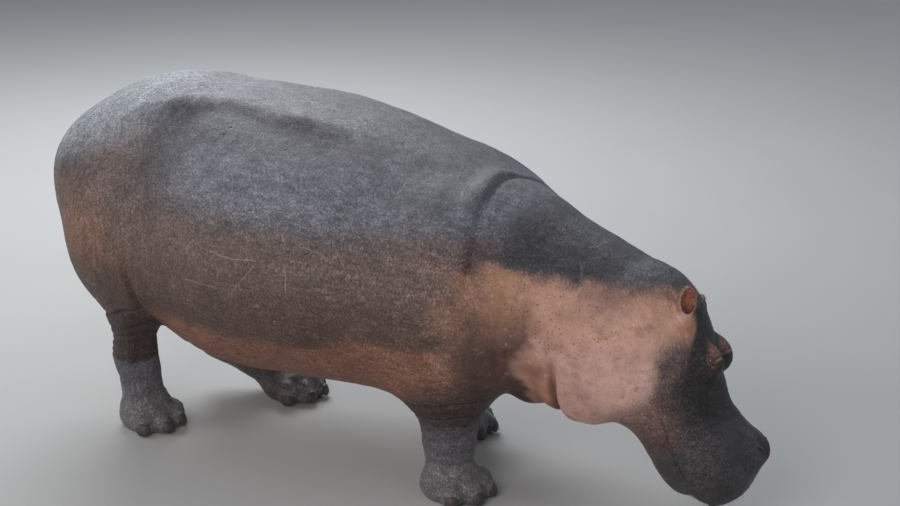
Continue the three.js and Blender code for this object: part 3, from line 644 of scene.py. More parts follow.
def nail_places():
    """Middle, outward, across and up directions of each nail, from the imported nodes."""
    out = {}
    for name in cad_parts:
        if name.startswith("nail_"):
            lo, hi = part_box(name)
            a = math.radians(TOE_ANGLES[int(name[-1]) - 1])
            c, s = math.cos(a), math.sin(a)
            o = unit([c, s, 0.18])
            side = np.array([-s, c, 0])
            up = np.cross(o, side)
            out[name] = ((np.array(lo) + np.array(hi)) / 2 - SHIFT, o, side, up if up[2] > 0 else -up)
    return out


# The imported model's origin is under the middle of its box, so the forms are shifted to it by the eyes' places.
eye_mid = sum((np.array(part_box(n)[0]) + np.array(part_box(n)[1])) / 2 for n in ("eye_right", "eye_left")) / 2
SHIFT = eye_mid - (EYES[0][1] + EYES[1][1]) / 2
SHIFT[2] = 0
NAIL_PLACES = nail_places()
NAILS = list(NAIL_PLACES.values())


# ------------------------------------------------------------------ markings, painted shade and painted sheen, as functions of place
def rgb(r, g, b):
    c = np.array([r, g, b], float) / 255
    return np.where(c <= 0.04045, c / 12.92, ((c + 0.055) / 1.055) ** 2.4)


BACK = rgb(107, 104, 109)
FLANK = rgb(124, 108, 105)
BELLY = rgb(152, 104, 84)
RUST = rgb(138, 98, 78)
NECK_TOP = rgb(78, 74, 78)
CHEEK = rgb(182, 135, 113)
FLAP = rgb(178, 126, 104)
JOWL = rgb(199, 157, 144)
THROAT = rgb(92, 67, 58)
LEG = rgb(70, 56, 51)
SHIN = rgb(100, 97, 103)
FOOT = rgb(122, 117, 118)
FACE = rgb(52, 46, 45)
MUZZLE = rgb(70, 65, 66)
LIP = rgb(120, 84, 80)
EAR_IN = rgb(166, 102, 80)
EAR_RIM = rgb(206, 160, 140)
LID = rgb(160, 116, 104)
UPPER = rgb(86, 83, 89)
SHEEN_AND_BLUE_GREY = rgb(131, 130, 138)
MID_FLANK = rgb(118, 98, 92)
LOW_FLANK = rgb(98, 74, 64)
PALE = rgb(226, 176, 158)
MOUTH = rgb(34, 26, 26)


def markings_and_painted_light(P, N, P0):
    """The hide's colour at each point, with painted shade and sheen laid into it, and how freckled it is."""
    x, y, z = P0.T
    L = in_head(P0)
    u, v, w = L.T
    C = np.tile(FLANK, (len(P), 1))

    def lay(colour, m):
        nonlocal C
        m = np.clip(m, 0, 1)[:, None]
        C = C * (1 - m) + np.asarray(colour) * m

    big, mid, fine = noise(P0, 0.20, 41), noise(P0, 0.07, 42), noise(P0, 0.028, 43)
    edge = 0.6 * big + 0.5 * mid + 0.35 * fine
    head = smooth(x, 1.02, 1.14)
    legs = leg_parts(P0)
    leg = np.max([l[1] for l in legs], 0)
    body_ = 1 - smooth(x, 0.62, 0.80)
    # grey upper hide, laid by how far each face turns up, so its darkness is partly painted shade; faces turned up are
    # lighter, and the top of the loin lighter still, a painted sky sheen on grey hide
    lay(UPPER, smooth(N[:, 2] + 0.6 * (z - 0.95) + 0.08 * edge, -0.05, 0.45))
    lay(BACK, smooth(N[:, 2] + 0.06 * edge, 0.82, 0.95))
    lay(BACK * 1.45, smooth(N[:, 2] + 0.04 * edge, 0.92, 0.99) * np.exp(-(((x + 0.74) / 0.17) ** 2)))
    rise = 0.05 * noise(P0, 0.45, 46) + 0.05 * edge
    # painted shade: the top of the back darker over the middle of the barrel
    lay(UPPER * 1.05, 0.55 * smooth(N[:, 2], 0.85, 0.95) * np.exp(-(((x + 0.26) / 0.22) ** 2)))
    # a lighter blue-grey band along the upper flank, partly the hide's tone and partly a painted sky sheen
    lay(SHEEN_AND_BLUE_GREY, body_ * smooth(z - 1.03 + rise, -0.09, 0.09) * (1 - smooth(z + 0.08 * smooth(x, 0.06, 0.36) + 0.03 * edge, 1.20, 1.30)) * smooth(x, -0.86, -0.60))
    # painted shade: the tops of the shoulders darker
    lay(UPPER, 0.5 * np.exp(-(((x - 0.32) / 0.16) ** 2)) * smooth(z, 1.05, 1.18) * body_)
    # the rump's upper corner is painted pale grey, partly paler hide and partly a painted sky sheen
    lay(rgb(166, 169, 174), smooth(z - 1.15 - 0.5 * (x + 1.12) + 0.03 * edge, -0.06, 0.06) * smooth(-x + 0.04 * edge, 0.80, 1.04) * 0.9)
    # brown low flank, darkened towards the belly partly as painted shade, a salmon rim along the belly, and the
    # rust-brown patch on the haunch; the back of the thigh is darker towards the bottom
    lay(MID_FLANK, body_ * smooth(1.03 - z - 0.05 * noise(P0, 0.45, 46) + 0.05 * edge, -0.10, 0.10))
    lay(LOW_FLANK, body_ * smooth(0.92 - z + 0.04 * edge, -0.02, 0.22) * 0.9)
    lay(BELLY, body_ * smooth(0.565 + 0.09 * smooth(x, -0.2, 0.2) - z + 0.02 * edge - 0.10 * (np.abs(x + 0.2) > 0.9), -0.025, 0.045) * 0.85)
    lay(RUST * 1.12, 0.75 * np.exp(-(((x + 1.10) / 0.17) ** 2 + ((z - 0.86) / 0.20) ** 2)) * smooth(np.abs(y), 0.25, 0.45) * (1 + 0.4 * edge))
    lay(rgb(130, 108, 99), 0.6 * np.exp(-(((x + 0.98) / 0.20) ** 2 + ((z - 1.10) / 0.16) ** 2)) * smooth(np.abs(y), 0.2, 0.4) * (1 + 0.4 * edge))
    lay(LOW_FLANK * 0.62, 0.7 * body_ * smooth(-x - 0.78, 0, 0.12) * smooth(0.80 - z, 0, 0.2))
    # a red tinge in the fold before the shoulder
    t = x - fold_x(z)
    lay(rgb(128, 88, 92), 0.55 * (bell(t + 0.006, 0.024) + 0.5 * bell(t - 0.055 + 0.02 * mid, 0.03)) * smooth(z, 0.74, 0.84) * (1 - smooth(z, 1.00, 1.09)) * smooth(np.abs(y), 0.15, 0.3))
    # dark crest and pink side of the neck and cheek
    line = np.interp(x, [0.60, 0.67, 0.788, 0.932, 1.072, 1.186, 1.24], [1.00, 0.982, 0.948, 0.931, 0.919, 0.908, 0.90])
    neck = smooth(x, 0.56, 0.72)
    pink = smooth(line - z + 0.022 * edge, -0.012, 0.05)
    lay(NECK_TOP, neck)
    back_edge = smooth(x + 0.10 * (z - 0.8) + 0.07 * edge, 0.43, 0.73)
    # the dark face begins along a line from the crown past the eye to the corner of the jaw
    front = u - np.interp(w, [-0.22, -0.142, -0.10, -0.045, -0.011, 0.029, 0.07, 0.103, 0.123, 0.14, 0.16], [0.365, 0.318, 0.300, 0.284, 0.277, 0.252, 0.195, 0.136, 0.086, 0.035, -0.05])
    soft = 0.020 + 0.025 * smooth(-w, -0.08, 0.06)
    face = smooth(front + 0.5 * soft * edge, -soft, soft) * smooth(x, 1.0, 1.1)
    front_edge = 1 - face
    m = pink * back_edge * front_edge
    lay(CHEEK, m)
    lay(CHEEK * np.array([0.84, 0.82, 0.68]), m * (1 - smooth(x + 0.06 * mid, 0.66, 0.84)))
    lay(CHEEK * np.array([1.15, 1.22, 1.24]), m * smooth(x + 0.05 * mid, 0.92, 1.08))
    lay(JOWL, m * smooth(0.74 - z + 0.03 * edge, -0.06, 0.12))
    lay(rgb(124, 92, 86), m * 0.85 * np.exp(-(((x - 1.055 + 0.04 * mid) / 0.11) ** 2 + ((z - 0.885 + 0.03 * fine) / 0.07) ** 2)))
    # mauve brown between the cheek and the dark face, reaching furthest back below the eye
    reach = u - np.interp(w, [-0.16, -0.12, -0.08, -0.053, -0.011, 0.042, 0.08, 0.11], [0.33, 0.288, 0.240, 0.190, 0.158, 0.164, 0.175, 0.16]) + 0.012 * edge
    mauve = smooth(reach + 0.006, -0.060, 0.050) * (1 - smooth(w, 0.09, 0.12)) * smooth(x, 1.0, 1.1)
    lay(rgb(85, 71, 69), mauve * 0.9)
    m = m * (1 - 0.9 * mauve)
    # dark brown under the neck, warm brown jaw
    lay(THROAT * 0.82, (1 - smooth(x + 0.03 * edge - 0.10 * smooth(z, 0.55, 0.8), 0.68, 0.75)) * smooth(x, 0.45, 0.6) * smooth(0.90 - z, 0, 0.28))
    # the throat's flap: peach brown, redder at its lower end, with painted shade darkening the crease behind the jowl
    t = x - 0.842 - 0.10 * (z - 0.47)
    flap = smooth(x + 0.01 * mid, 0.69, 0.74) * (1 - smooth(t, -0.01, 0.02))
    lay(FLAP, 0.9 * flap * smooth(0.66 - z, 0.0, 0.14))
    lay(FLAP * 0.72, 0.6 * flap * bell(z - 0.57 - 0.02 * mid, 0.05))
    lay(rgb(160, 96, 84), 0.8 * flap * smooth(0.455 - z + 0.01 * mid, 0.0, 0.06))
    lay(THROAT * 0.5, (1 - smooth(z, 0.50, 0.62)) * bell(t + 0.010, 0.013) * 0.75)
    # painted shade: faces turned down under the neck and head take the dark throat colour
    lay(THROAT, 0.8 * smooth(x, 0.6, 0.7) * smooth(-N[:, 2], 0.86, 0.98) * (1 - smooth(x, 1.1, 1.2)))
    lay(THROAT * 1.15, face * smooth(-w, 0.02, 0.14))
    lay(rgb(142, 114, 104), 0.68 * smooth(-w, 0.10, 0.16) * smooth(u, 0.26, 0.32) * (1 - smooth(u + 0.02 * edge, 0.37, 0.47)) * head)
    lay(FACE, face * smooth(w + 0.02 * mid, -0.12, 0.0))
    lay(MUZZLE, head * smooth(u + 0.03 * edge, 0.42, 0.54))
    # painted shade along the crease between the lips
    lay(MOUTH, head * smooth(u, 0.33, 0.50) * bell(w - mouth_height(u), 0.005) * 0.8)
    # legs and feet
    lay(LEG, leg * smooth(0.62 - z + 0.05 * edge, 0, 0.14))
    # painted shade: the legs' inner faces are darker, and the paler shins and feet mostly spare them
    inner_shade = np.max([l[1] * smooth(-np.sign(np.median(P0[l[1] > 0.5, 1])) * N[:, 1] + 0.1 * edge, 0.1, 0.6) for l in legs], 0)
    lay(LEG * 0.60, inner_shade * smooth(z, 0.10, 0.2) * 0.8)
    lay(SHIN * 0.95, leg * smooth(0.300 - z + 0.012 * edge, -0.006 - 0.05 * (x > 0), 0.012 + 0.07 * (x > 0)) * (1 - 0.85 * inner_shade))
    # painted shade in the ring crease at the top of the pale shins of the hind legs
    lay(LEG * 0.55, leg * bell(z - 0.306 - 0.012 * edge, 0.010) * (x < 0) * 0.5)
    lay(FOOT, smooth(0.24 - z + 0.02 * edge, 0, 0.14) * (x < 0.9) * (1 - 0.7 * inner_shade))
    # eyes, ears, nostrils
    for e in EYES:
        G, A, B, O, R = eye_opening(P0, e)
        near = (R < 0.09) & (O > -0.03)
        lay(LID, near * (1 - smooth(G + 0.006 * fine + 0.10 * np.maximum(0, -A), 0.006, 0.024)) * 0.42)
        # the orbit's back is reddish, up to the fold of the lid, which is darkened with painted shade, and the lid's
        # pale rim
        top = (R < 0.10) * smooth(w + 0.008 * fine, 0.114, 0.138)
        lay(LID * np.array([1.06, 0.98, 0.98]), top * smooth(0.262 - u + 0.003 * fine, -0.004, 0.008) * smooth(u + 0.01 * mid, 0.165, 0.235) * 0.85)
        lay(LID * 0.3, top * bell(u - 0.263, 0.0035) * 0.8)
        lay(PALE * 0.62, top * bell(u - 0.272, 0.0050) * 0.9)
        # painted shade where the lids meet the eyeball
        lay(FACE * 0.5, near * bell(G - 0.0015, 0.0022) * 0.8)
        lay(rgb(120, 66, 60), near * (1 - smooth(G, -0.002, 0.0005)))
    for s in (-1, 1):
        # pale skin under the ear, and a warm patch before it
        side = s * v > 0
        lay(PALE, side * head * 0.75 * np.exp(-(((u - 0.075 + 0.3 * (w - 0.08)) / 0.018) ** 2 + ((w - 0.078) / 0.040) ** 2)))
        lay(CHEEK * np.array([1.0, 0.78, 0.6]), side * head * 0.85 * np.exp(-(((u - 0.118) / 0.022) ** 2 + ((w - 0.085) / 0.034) ** 2)) * (1 - face))
        E = ear_local(P0, s)
        rim = ((E[:, 0] - 0.057) / 0.060) ** 2 + (E[:, 1] / 0.035) ** 2
        near = (E[:, 0] > 0.0) & (rim < 1.7) & (np.abs(E[:, 2]) < 0.032)
        grown = near * smooth(E[:, 0], 0.008, 0.030)
        cup = (E[:, 2] > -0.010) & (((E[:, 0] - 0.062) / 0.050) ** 2 + (E[:, 1] / 0.028) ** 2 < 1.0)
        lay(CHEEK * 0.80, grown)
        lay(NECK_TOP * 1.3, grown * smooth(-E[:, 2], 0.0, 0.020) * 0.5)
        lay(EAR_IN, near * cup * smooth(E[:, 0], 0.0, 0.02))
        # painted shade deep in the ear's cup, darkest towards its root, and along the side of the ridge in the cup
        lay(EAR_IN * 0.22, near * cup * (1 - smooth(E[:, 0] + 0.4 * np.abs(E[:, 1]), 0.020, 0.062)) * 0.9)
        lay(EAR_IN * 0.6, near * cup * bell(E[:, 1] - 0.010 + 0.003 * fine, 0.004) * smooth(E[:, 0], 0.02, 0.05) * 0.6)
        lay(EAR_RIM, grown * bell(rim - 0.98, 0.13) * smooth(E[:, 2], -0.002, 0.008) * 0.85)
    for n in NOSTRILS:
        G, T, up = nostril_slit(L, n)
        # painted shade: the nostril slits are nearly black
        lay(rgb(38, 26, 26), head * (up > -0.04) * (np.abs(T) < 0.05) * (1 - smooth(G, -0.002, 0.003)))
    # unevenness everywhere
    C = C * (1 + 0.05 * big + 0.045 * mid + 0.05 * fine)[:, None]
    freckle = m * smooth(z, 0.55, 0.75) * (1 - smooth(x, 1.02, 1.16) * 0.7)
    C = C * (1 + m * (0.07 * noise(P0, 0.11, 44) + 0.06 * noise(P0, 0.05, 45)))[:, None]
    dry = smooth(x, 0.98, 1.14) * (1 - smooth(u, 0.02, 0.06)) * smooth(z - line, -0.01, 0.02)
    return np.clip(C, 0, 1), freckle, leg, head, m, dry


# ------------------------------------------------------------------ making Blender meshes
def new_object(name, data):
    o = bpy.data.objects.new(name, data)
    bpy.context.scene.collection.objects.link(o)
    return o


def mesh_from(name, P, Q, rest=(), smooth_=True):
    me = bpy.data.meshes.new(name)
    Q = np.asarray(Q)
    k = Q.shape[1]
    loops = np.concatenate([Q.reshape(-1)] + ([np.concatenate([np.array(f) for f in rest])] if len(rest) else []))
    sizes = np.concatenate([np.full(len(Q), k), np.array([len(f) for f in rest], int)]).astype(np.int32)
    me.vertices.add(len(P))
    me.vertices.foreach_set("co", np.ascontiguousarray(P, np.float32).reshape(-1))
    me.loops.add(len(loops))
    me.loops.foreach_set("vertex_index", loops.astype(np.int32))
    me.polygons.add(len(sizes))
    me.polygons.foreach_set("loop_start", np.concatenate([[0], np.cumsum(sizes)[:-1]]).astype(np.int32))
    me.polygons.foreach_set("loop_total", sizes)
    me.update(calc_edges=True)
    me.validate()
    me.polygons.foreach_set("use_smooth", np.full(len(me.polygons), smooth_))
    me.update()
    return me


def set_colour(me, name, C):
    a = me.color_attributes.new(name, "FLOAT_COLOR", "POINT")
    a.data.foreach_set("color", np.concatenate([C, np.ones((len(C), 1))], 1).astype(np.float32).reshape(-1))


def set_value(me, name, v):
    a = me.attributes.new(name, "FLOAT", "POINT")
    a.data.foreach_set("value", np.asarray(v, np.float32))


# ------------------------------------------------------------------ materials
class Nodes:
    """A short way to write node trees."""

    def __init__(self, name):
        self.mat = bpy.data.materials.new(name)
        self.mat.use_nodes = True
        self.tree = self.mat.node_tree
        self.tree.nodes.clear()
        self.out = self.tree.nodes.new("ShaderNodeOutputMaterial")
        self.bsdf = self.tree.nodes.new("ShaderNodeBsdfPrincipled")
        self.tree.links.new(self.bsdf.outputs[0], self.out.inputs[0])
        self.at = self.add("ShaderNodeTexCoord").outputs["Object"]

    def add(self, kind, **values):
        n = self.tree.nodes.new(kind)
        for k, v in values.items():
            setattr(n, k, v)
        return n

    def put(self, socket, value):
        if isinstance(value, bpy.types.NodeSocket):
            self.tree.links.new(value, socket)
        else:
            socket.default_value = value
        return self

    def math(self, op, a, b=None, c=None, clamp=False):
        n = self.add("ShaderNodeMath", operation=op, use_clamp=clamp)
        for i, v in enumerate((a, b, c)):
            if v is not None:
                self.put(n.inputs[i], v)
        return n.outputs[0]

    def scaled(self, v, by):
        n = self.add("ShaderNodeVectorMath", operation="MULTIPLY")
        self.put(n.inputs[0], v).put(n.inputs[1], by)
        return n.outputs[0]

    def plus(self, a, b):
        n = self.add("ShaderNodeVectorMath", operation="ADD")
        self.put(n.inputs[0], a).put(n.inputs[1], b)
        return n.outputs[0]

    def noise(self, at, scale, detail=3.0, rough=0.55, distort=0.0, colour=False):
        n = self.add("ShaderNodeTexNoise")
        self.put(n.inputs["Vector"], at).put(n.inputs["Scale"], scale).put(n.inputs["Detail"], detail)
        self.put(n.inputs["Roughness"], rough).put(n.inputs["Distortion"], distort)
        return n.outputs["Color" if colour else "Fac"]

    def cells(self, at, scale, feature="DISTANCE_TO_EDGE", out="Distance", jitter=1.0):
        n = self.add("ShaderNodeTexVoronoi", feature=feature)
        self.put(n.inputs["Vector"], at).put(n.inputs["Scale"], scale).put(n.inputs["Randomness"], jitter)
        return n.outputs[out]

    def steps(self, v, a, b, to_a=0.0, to_b=1.0):
        n = self.add("ShaderNodeMapRange", interpolation_type="SMOOTHSTEP")
        for i, s in enumerate((v, a, b, to_a, to_b)):
            self.put(n.inputs[i], s)
        return n.outputs[0]

    def mix(self, t, a, b, how="MIX"):
        n = self.add("ShaderNodeMix", data_type="RGBA", blend_type=how)
        self.put(n.inputs[0], t).put(n.inputs[6], a).put(n.inputs[7], b)
        return n.outputs[2]

    def attribute(self, name, out="Color"):
        n = self.add("ShaderNodeAttribute", attribute_name=name)
        return n.outputs[out]

    def bump(self, height, strength, distance, normal=None):
        n = self.add("ShaderNodeBump")
        self.put(n.inputs["Strength"], strength).put(n.inputs["Distance"], distance).put(n.inputs["Height"], height)
        if normal is not None:
            self.put(n.inputs["Normal"], normal)
        return n.outputs[0]

    def set(self, **values):
        for k, v in values.items():
            self.put(self.bsdf.inputs[k.replace("_", " ")], v)
        return self.mat


def c4(c):
    return (float(c[0]), float(c[1]), float(c[2]), 1.0)


# Scars on the near flank: from (x, z) to (x, z), and how wide.
SCRATCHES = (
    (-0.430, 0.925, -0.300, 0.908, 0.0034), (-0.315, 0.910, -0.205, 0.920, 0.0034), (-0.210, 0.915, -0.345, 0.752, 0.0022),
    (-0.094, 0.905, -0.090, 0.815, 0.0032), (-0.560, 0.785, -0.390, 0.780, 0.0024), (-0.070, 1.000, 0.040, 0.975, 0.0022),
    (0.225, 1.175, 0.232, 1.215, 0.0026), (0.100, 1.192, 0.140, 1.150, 0.0020),
)


def hide_material():
    m = Nodes("hide")
    wander = m.scaled(m.noise(m.at, 9.0, 2.0, colour=True), (0.05, 0.05, 0.05))
    at = m.plus(m.at, wander)
    drawn = m.scaled(at, (1.0, 1.0, 0.75))  # the net of creases is drawn out down the flanks
    tone = m.attribute("tone")
    pale = m.attribute("pale", "Fac")
    net = m.steps(m.cells(drawn, 78.0), 0.0, 0.16)
    fine = m.steps(m.cells(m.plus(drawn, m.scaled(m.noise(m.at, 60.0, 2.0, colour=True), (0.012, 0.012, 0.012))), 170.0), 0.0, 0.22)
    # fine streaks: upright on the haunch, lengthwise along the barrel
    place = m.add("ShaderNodeSeparateXYZ")
    m.put(place.inputs[0], m.at)
    haunch = m.math("SUBTRACT", 1.0, m.steps(place.outputs[0], -0.95, -0.55))
    upright = m.steps(m.noise(m.scaled(at, (56.0, 40.0, 10.0)), 1.0, 2.0), 0.38, 0.60)
    along = m.steps(m.noise(m.scaled(at, (17.0, 30.0, 66.0)), 1.0, 2.0), 0.38, 0.62)
    folds = m.math("MULTIPLY_ADD", haunch, m.math("SUBTRACT", upright, along), along)
    grain = m.noise(m.at, 420.0, 2.0)
    blotch = m.noise(m.at, 14.0, 5.0, 0.6)
    speck = m.noise(m.at, 120.0, 3.0, 0.65)
    # colour: painted shade darkens the creases, and the hide is blotched and specked
    wrinkle = m.steps(m.math("ABSOLUTE", m.math("SUBTRACT", m.noise(m.scaled(at, (74.0, 74.0, 50.0)), 1.0, 3.0, 0.6), 0.5)), 0.0, 0.07)
    crease_shade_and_tone = m.math("MULTIPLY_ADD", net, 0.23, 0.81)
    crease_shade_and_tone = m.math("MULTIPLY", crease_shade_and_tone, m.math("MULTIPLY_ADD", wrinkle, 0.36, 0.74))
    crease_shade_and_tone = m.math("MULTIPLY", crease_shade_and_tone, m.math("MULTIPLY_ADD", fine, 0.18, 0.86))
    crease_shade_and_tone = m.math("MULTIPLY", crease_shade_and_tone, m.math("MULTIPLY_ADD", folds, 0.27, 0.865))
    crease_shade_and_tone = m.math("MULTIPLY_ADD", m.math("SUBTRACT", crease_shade_and_tone, 1.0), m.math("MULTIPLY_ADD", pale, -0.82, 1.0), 1.0)
    crease_shade_and_tone = m.math("MULTIPLY", crease_shade_and_tone, m.math("MULTIPLY_ADD", blotch, 0.70, 0.70))
    speck_ = m.math("MULTIPLY", m.math("SUBTRACT", speck, 0.5), m.math("MULTIPLY_ADD", pale, -0.72, 1.0))
    crease_shade_and_tone = m.math("MULTIPLY", crease_shade_and_tone, m.math("MULTIPLY_ADD", speck_, 1.6, 1.05))
    grey = m.add("ShaderNodeCombineColor")
    for i in range(3):
        m.put(grey.inputs[i], crease_shade_and_tone)
    colour = m.mix(1.0, tone, grey.outputs[0], "MULTIPLY")
    # red and pale mottling under the pink hide
    red = m.steps(m.noise(m.at, 17.0, 4.0, 0.6), 0.50, 0.72)
    colour = m.mix(m.math("MULTIPLY", m.math("MULTIPLY", red, m.math("POWER", pale, 2.0)), 0.5), colour, c4(rgb(146, 88, 84)))
    light = m.steps(m.noise(m.plus(m.at, (4.0, 1.0, 2.0)), 34.0, 4.0, 0.6), 0.54, 0.74)
    colour = m.mix(m.math("MULTIPLY", m.math("MULTIPLY", light, m.math("POWER", pale, 3.0)), 0.35), colour, c4(rgb(226, 180, 156)))
    # brown freckles on the pink neck and cheek
    dots = m.cells(m.plus(m.at, m.scaled(m.noise(m.at, 70.0, 1.0, colour=True), (0.008, 0.008, 0.008))), 66.0, "F1")
    size = m.cells(m.at, 66.0, "F1", "Color")
    sep = m.add("ShaderNodeSeparateColor")
    m.put(sep.inputs[0], size)
    dot = m.math("MULTIPLY", m.math("SUBTRACT", 1.0, m.steps(dots, 0.14, 0.32)), m.steps(sep.outputs[0], 0.22, 0.62))
    colour = m.mix(m.math("MULTIPLY", m.math("MULTIPLY", dot, m.attribute("freckle", "Fac")), 0.75), colour, c4(rgb(88, 48, 38)))
    # dry, pale cracks on the crest behind the ears
    cracks = m.math("MULTIPLY", m.math("SUBTRACT", 1.0, m.steps(m.cells(m.scaled(at, (1.0, 1.4, 1.4)), 52.0), 0.0, 0.14)), m.steps(m.noise(m.at, 26.0, 3.0), 0.36, 0.56))
    colour = m.mix(m.math("MULTIPLY", m.math("MULTIPLY", cracks, m.attribute("dry", "Fac")), 0.5), colour, c4(rgb(168, 170, 178)))
    # long pale scratches
    lines = None
    for turn, seed, scale in (((0.16, 0.5, 1.0), 3.1, 7.0), ((1.0, 0.5, 0.13), 7.7, 8.0)):
        streak = m.cells(m.plus(m.scaled(m.plus(m.at, m.scaled(m.noise(m.at, 3.0, 1.0, colour=True), (0.10, 0.10, 0.10))), turn), (seed, seed, seed)), scale)
        some = m.steps(m.noise(m.plus(m.at, (seed, 0, 0)), 9.0, 2.0), 0.56, 0.66)
        line = m.math("MULTIPLY", m.math("SUBTRACT", 1.0, m.steps(streak, 0.0, 0.012)), some)
        lines = line if lines is None else m.math("MAXIMUM", lines, line)
    bent = m.plus(m.at, m.scaled(m.noise(m.at, 12.0, 2.0, colour=True), (0.02, 0.0, 0.02)))
    away = m.steps(place.outputs[1], -0.15, -0.20)
    for (x0, z0, x1, z1, wide) in SCRATCHES:
        dx, dz = x1 - x0, z1 - z0
        size_ = math.hypot(dx, dz)
        sep_ = m.add("ShaderNodeSeparateXYZ")
        m.put(sep_.inputs[0], bent)
        px, pz = m.math("SUBTRACT", sep_.outputs[0], x0 + 0.01 + float(SHIFT[0])), m.math("SUBTRACT", sep_.outputs[2], z0 + 0.01)
        across_ = m.math("ABSOLUTE", m.math("ADD", m.math("MULTIPLY", px, dz / size_), m.math("MULTIPLY", pz, -dx / size_)))
        length = m.math("ADD", m.math("MULTIPLY", px, dx / size_ ** 2), m.math("MULTIPLY", pz, dz / size_ ** 2))
        inside = m.math("MULTIPLY", m.steps(length, 0.0, 0.08), m.math("SUBTRACT", 1.0, m.steps(length, 0.85, 1.0)))
        mark = m.math("MULTIPLY", m.math("SUBTRACT", 1.0, m.steps(across_, 0.3 * wide, wide)), m.math("MULTIPLY", inside, away))
        lines = m.math("MAXIMUM", lines, m.math("MULTIPLY", mark, 1.6))
    scratch = m.math("MULTIPLY", lines, m.attribute("scratch", "Fac"))
    colour = m.mix(m.math("MULTIPLY", scratch, 0.30), colour, c4(rgb(190, 172, 160)))
    rough = m.math("MULTIPLY_ADD", m.noise(m.at, 30.0, 4.0), 0.30, 0.27)
    rough = m.math("MULTIPLY_ADD", m.math("SUBTRACT", 1.0, net), 0.12, rough, clamp=True)
    height = m.math("MULTIPLY_ADD", net, 0.55, m.math("MULTIPLY", fine, 0.30))
    height = m.math("MULTIPLY_ADD", folds, 0.5, height)
    height = m.math("MULTIPLY_ADD", wrinkle, 0.9, height)
    height = m.math("MULTIPLY", height, m.math("MULTIPLY_ADD", pale, -0.8, 1.0))
    height = m.math("MULTIPLY_ADD", grain, 0.22, height)
    height = m.math("MULTIPLY_ADD", speck, 0.30, height)
    return m.set(Base_Color=colour, Roughness=rough, Normal=m.bump(height, 0.85, 0.0028), Specular_IOR_Level=0.5)


def nail_material():
    m = Nodes("keratin")
    rings = m.noise(m.scaled(m.at, (60.0, 60.0, 420.0)), 1.0, 3.0)
    fibres = m.noise(m.scaled(m.at, (400.0, 400.0, 25.0)), 1.0, 2.0)
    chips = m.noise(m.at, 90.0, 4.0)
    t = m.math("MULTIPLY_ADD", rings, 0.6, m.math("MULTIPLY", chips, 0.5), clamp=True)
    colour = m.mix(t, c4(rgb(42, 36, 34)), c4(rgb(88, 78, 71)))
    rough = m.math("MULTIPLY_ADD", chips, 0.25, 0.38)
    height = m.math("MULTIPLY_ADD", rings, 0.8, m.math("MULTIPLY", fibres, 0.4))
    return m.set(Base_Color=colour, Roughness=rough, Normal=m.bump(height, 0.5, 0.0012))


def bristle_material():
    m = Nodes("bristle")
    t = m.noise(m.at, 160.0, 2.0)
    colour = m.mix(t, c4(rgb(40, 30, 26)), c4(rgb(112, 90, 74)))
    return m.set(Base_Color=colour, Roughness=m.math("MULTIPLY_ADD", t, 0.2, 0.45))


def eye_material():
    m = Nodes("eye")
    # the eye looks along its own +Z: dark horizontal pupil, brown iris, dark sclera with pink corners
    sep = m.add("ShaderNodeSeparateXYZ")
    m.put(sep.inputs[0], m.at)
    X, Y = sep.outputs[0], sep.outputs[1]
    r = m.math("SQRT", m.math("ADD", m.math("MULTIPLY", X, X), m.math("MULTIPLY", Y, Y)))
    fibres = m.noise(m.scaled(m.at, (1.0, 1.0, 0.3)), 900.0, 3.0)
    iris = m.mix(fibres, c4(rgb(58, 34, 20)), c4(rgb(120, 78, 44)))
    white = m.mix(m.noise(m.at, 260.0, 4.0), c4(rgb(92, 60, 50)), c4(rgb(150, 112, 98)))
    colour = m.mix(m.steps(r, 0.0092, 0.0104), iris, white)
    slot_ = m.math("ADD", m.math("POWER", m.math("DIVIDE", m.math("ABSOLUTE", X), 0.0055), 2.5), m.math("POWER", m.math("DIVIDE", m.math("ABSOLUTE", Y), 0.0024), 2.5))
    colour = m.mix(m.steps(slot_, 0.85, 1.15), (0.004, 0.003, 0.003, 1), colour)
    ring = m.math("SUBTRACT", 1.0, m.steps(m.math("ABSOLUTE", m.math("SUBTRACT", r, 0.0098)), 0.0, 0.0012))
    colour = m.mix(m.math("MULTIPLY", ring, 0.8), colour, (0.008, 0.005, 0.004, 1))
    rough = m.math("MULTIPLY_ADD", m.noise(m.at, 300.0, 2.0), 0.05, 0.04)
    return m.set(Base_Color=colour, Roughness=rough, Coat_Weight=1.0, Coat_Roughness=0.03)


HIDE, NAIL, BRISTLE, EYE = hide_material(), nail_material(), bristle_material(), eye_material()

# ------------------------------------------------------------------ the skin
P0, Q, REST, N0 = make_skin()
P1 = relief(P0, N0)
TONE, FRECKLE, LEGNESS, HEADNESS, PINK, DRY = markings_and_painted_light(P1, N0, P0)
skin_mesh = mesh_from("skin", P1 + SHIFT, Q, REST)
set_colour(skin_mesh, "tone", TONE)
set_value(skin_mesh, "freckle", FRECKLE)
set_value(skin_mesh, "pale", PINK)
set_value(skin_mesh, "dry", DRY)
set_value(skin_mesh, "scratch", (1 - PINK) * (1 - 0.7 * LEGNESS) * (1 - 0.6 * HEADNESS))
skin = new_object("skin", skin_mesh)
skin_mesh.materials.append(HIDE)
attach(skin, "root")
FLESH = [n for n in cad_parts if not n.startswith(("nail_", "eye_"))]
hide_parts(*FLESH)

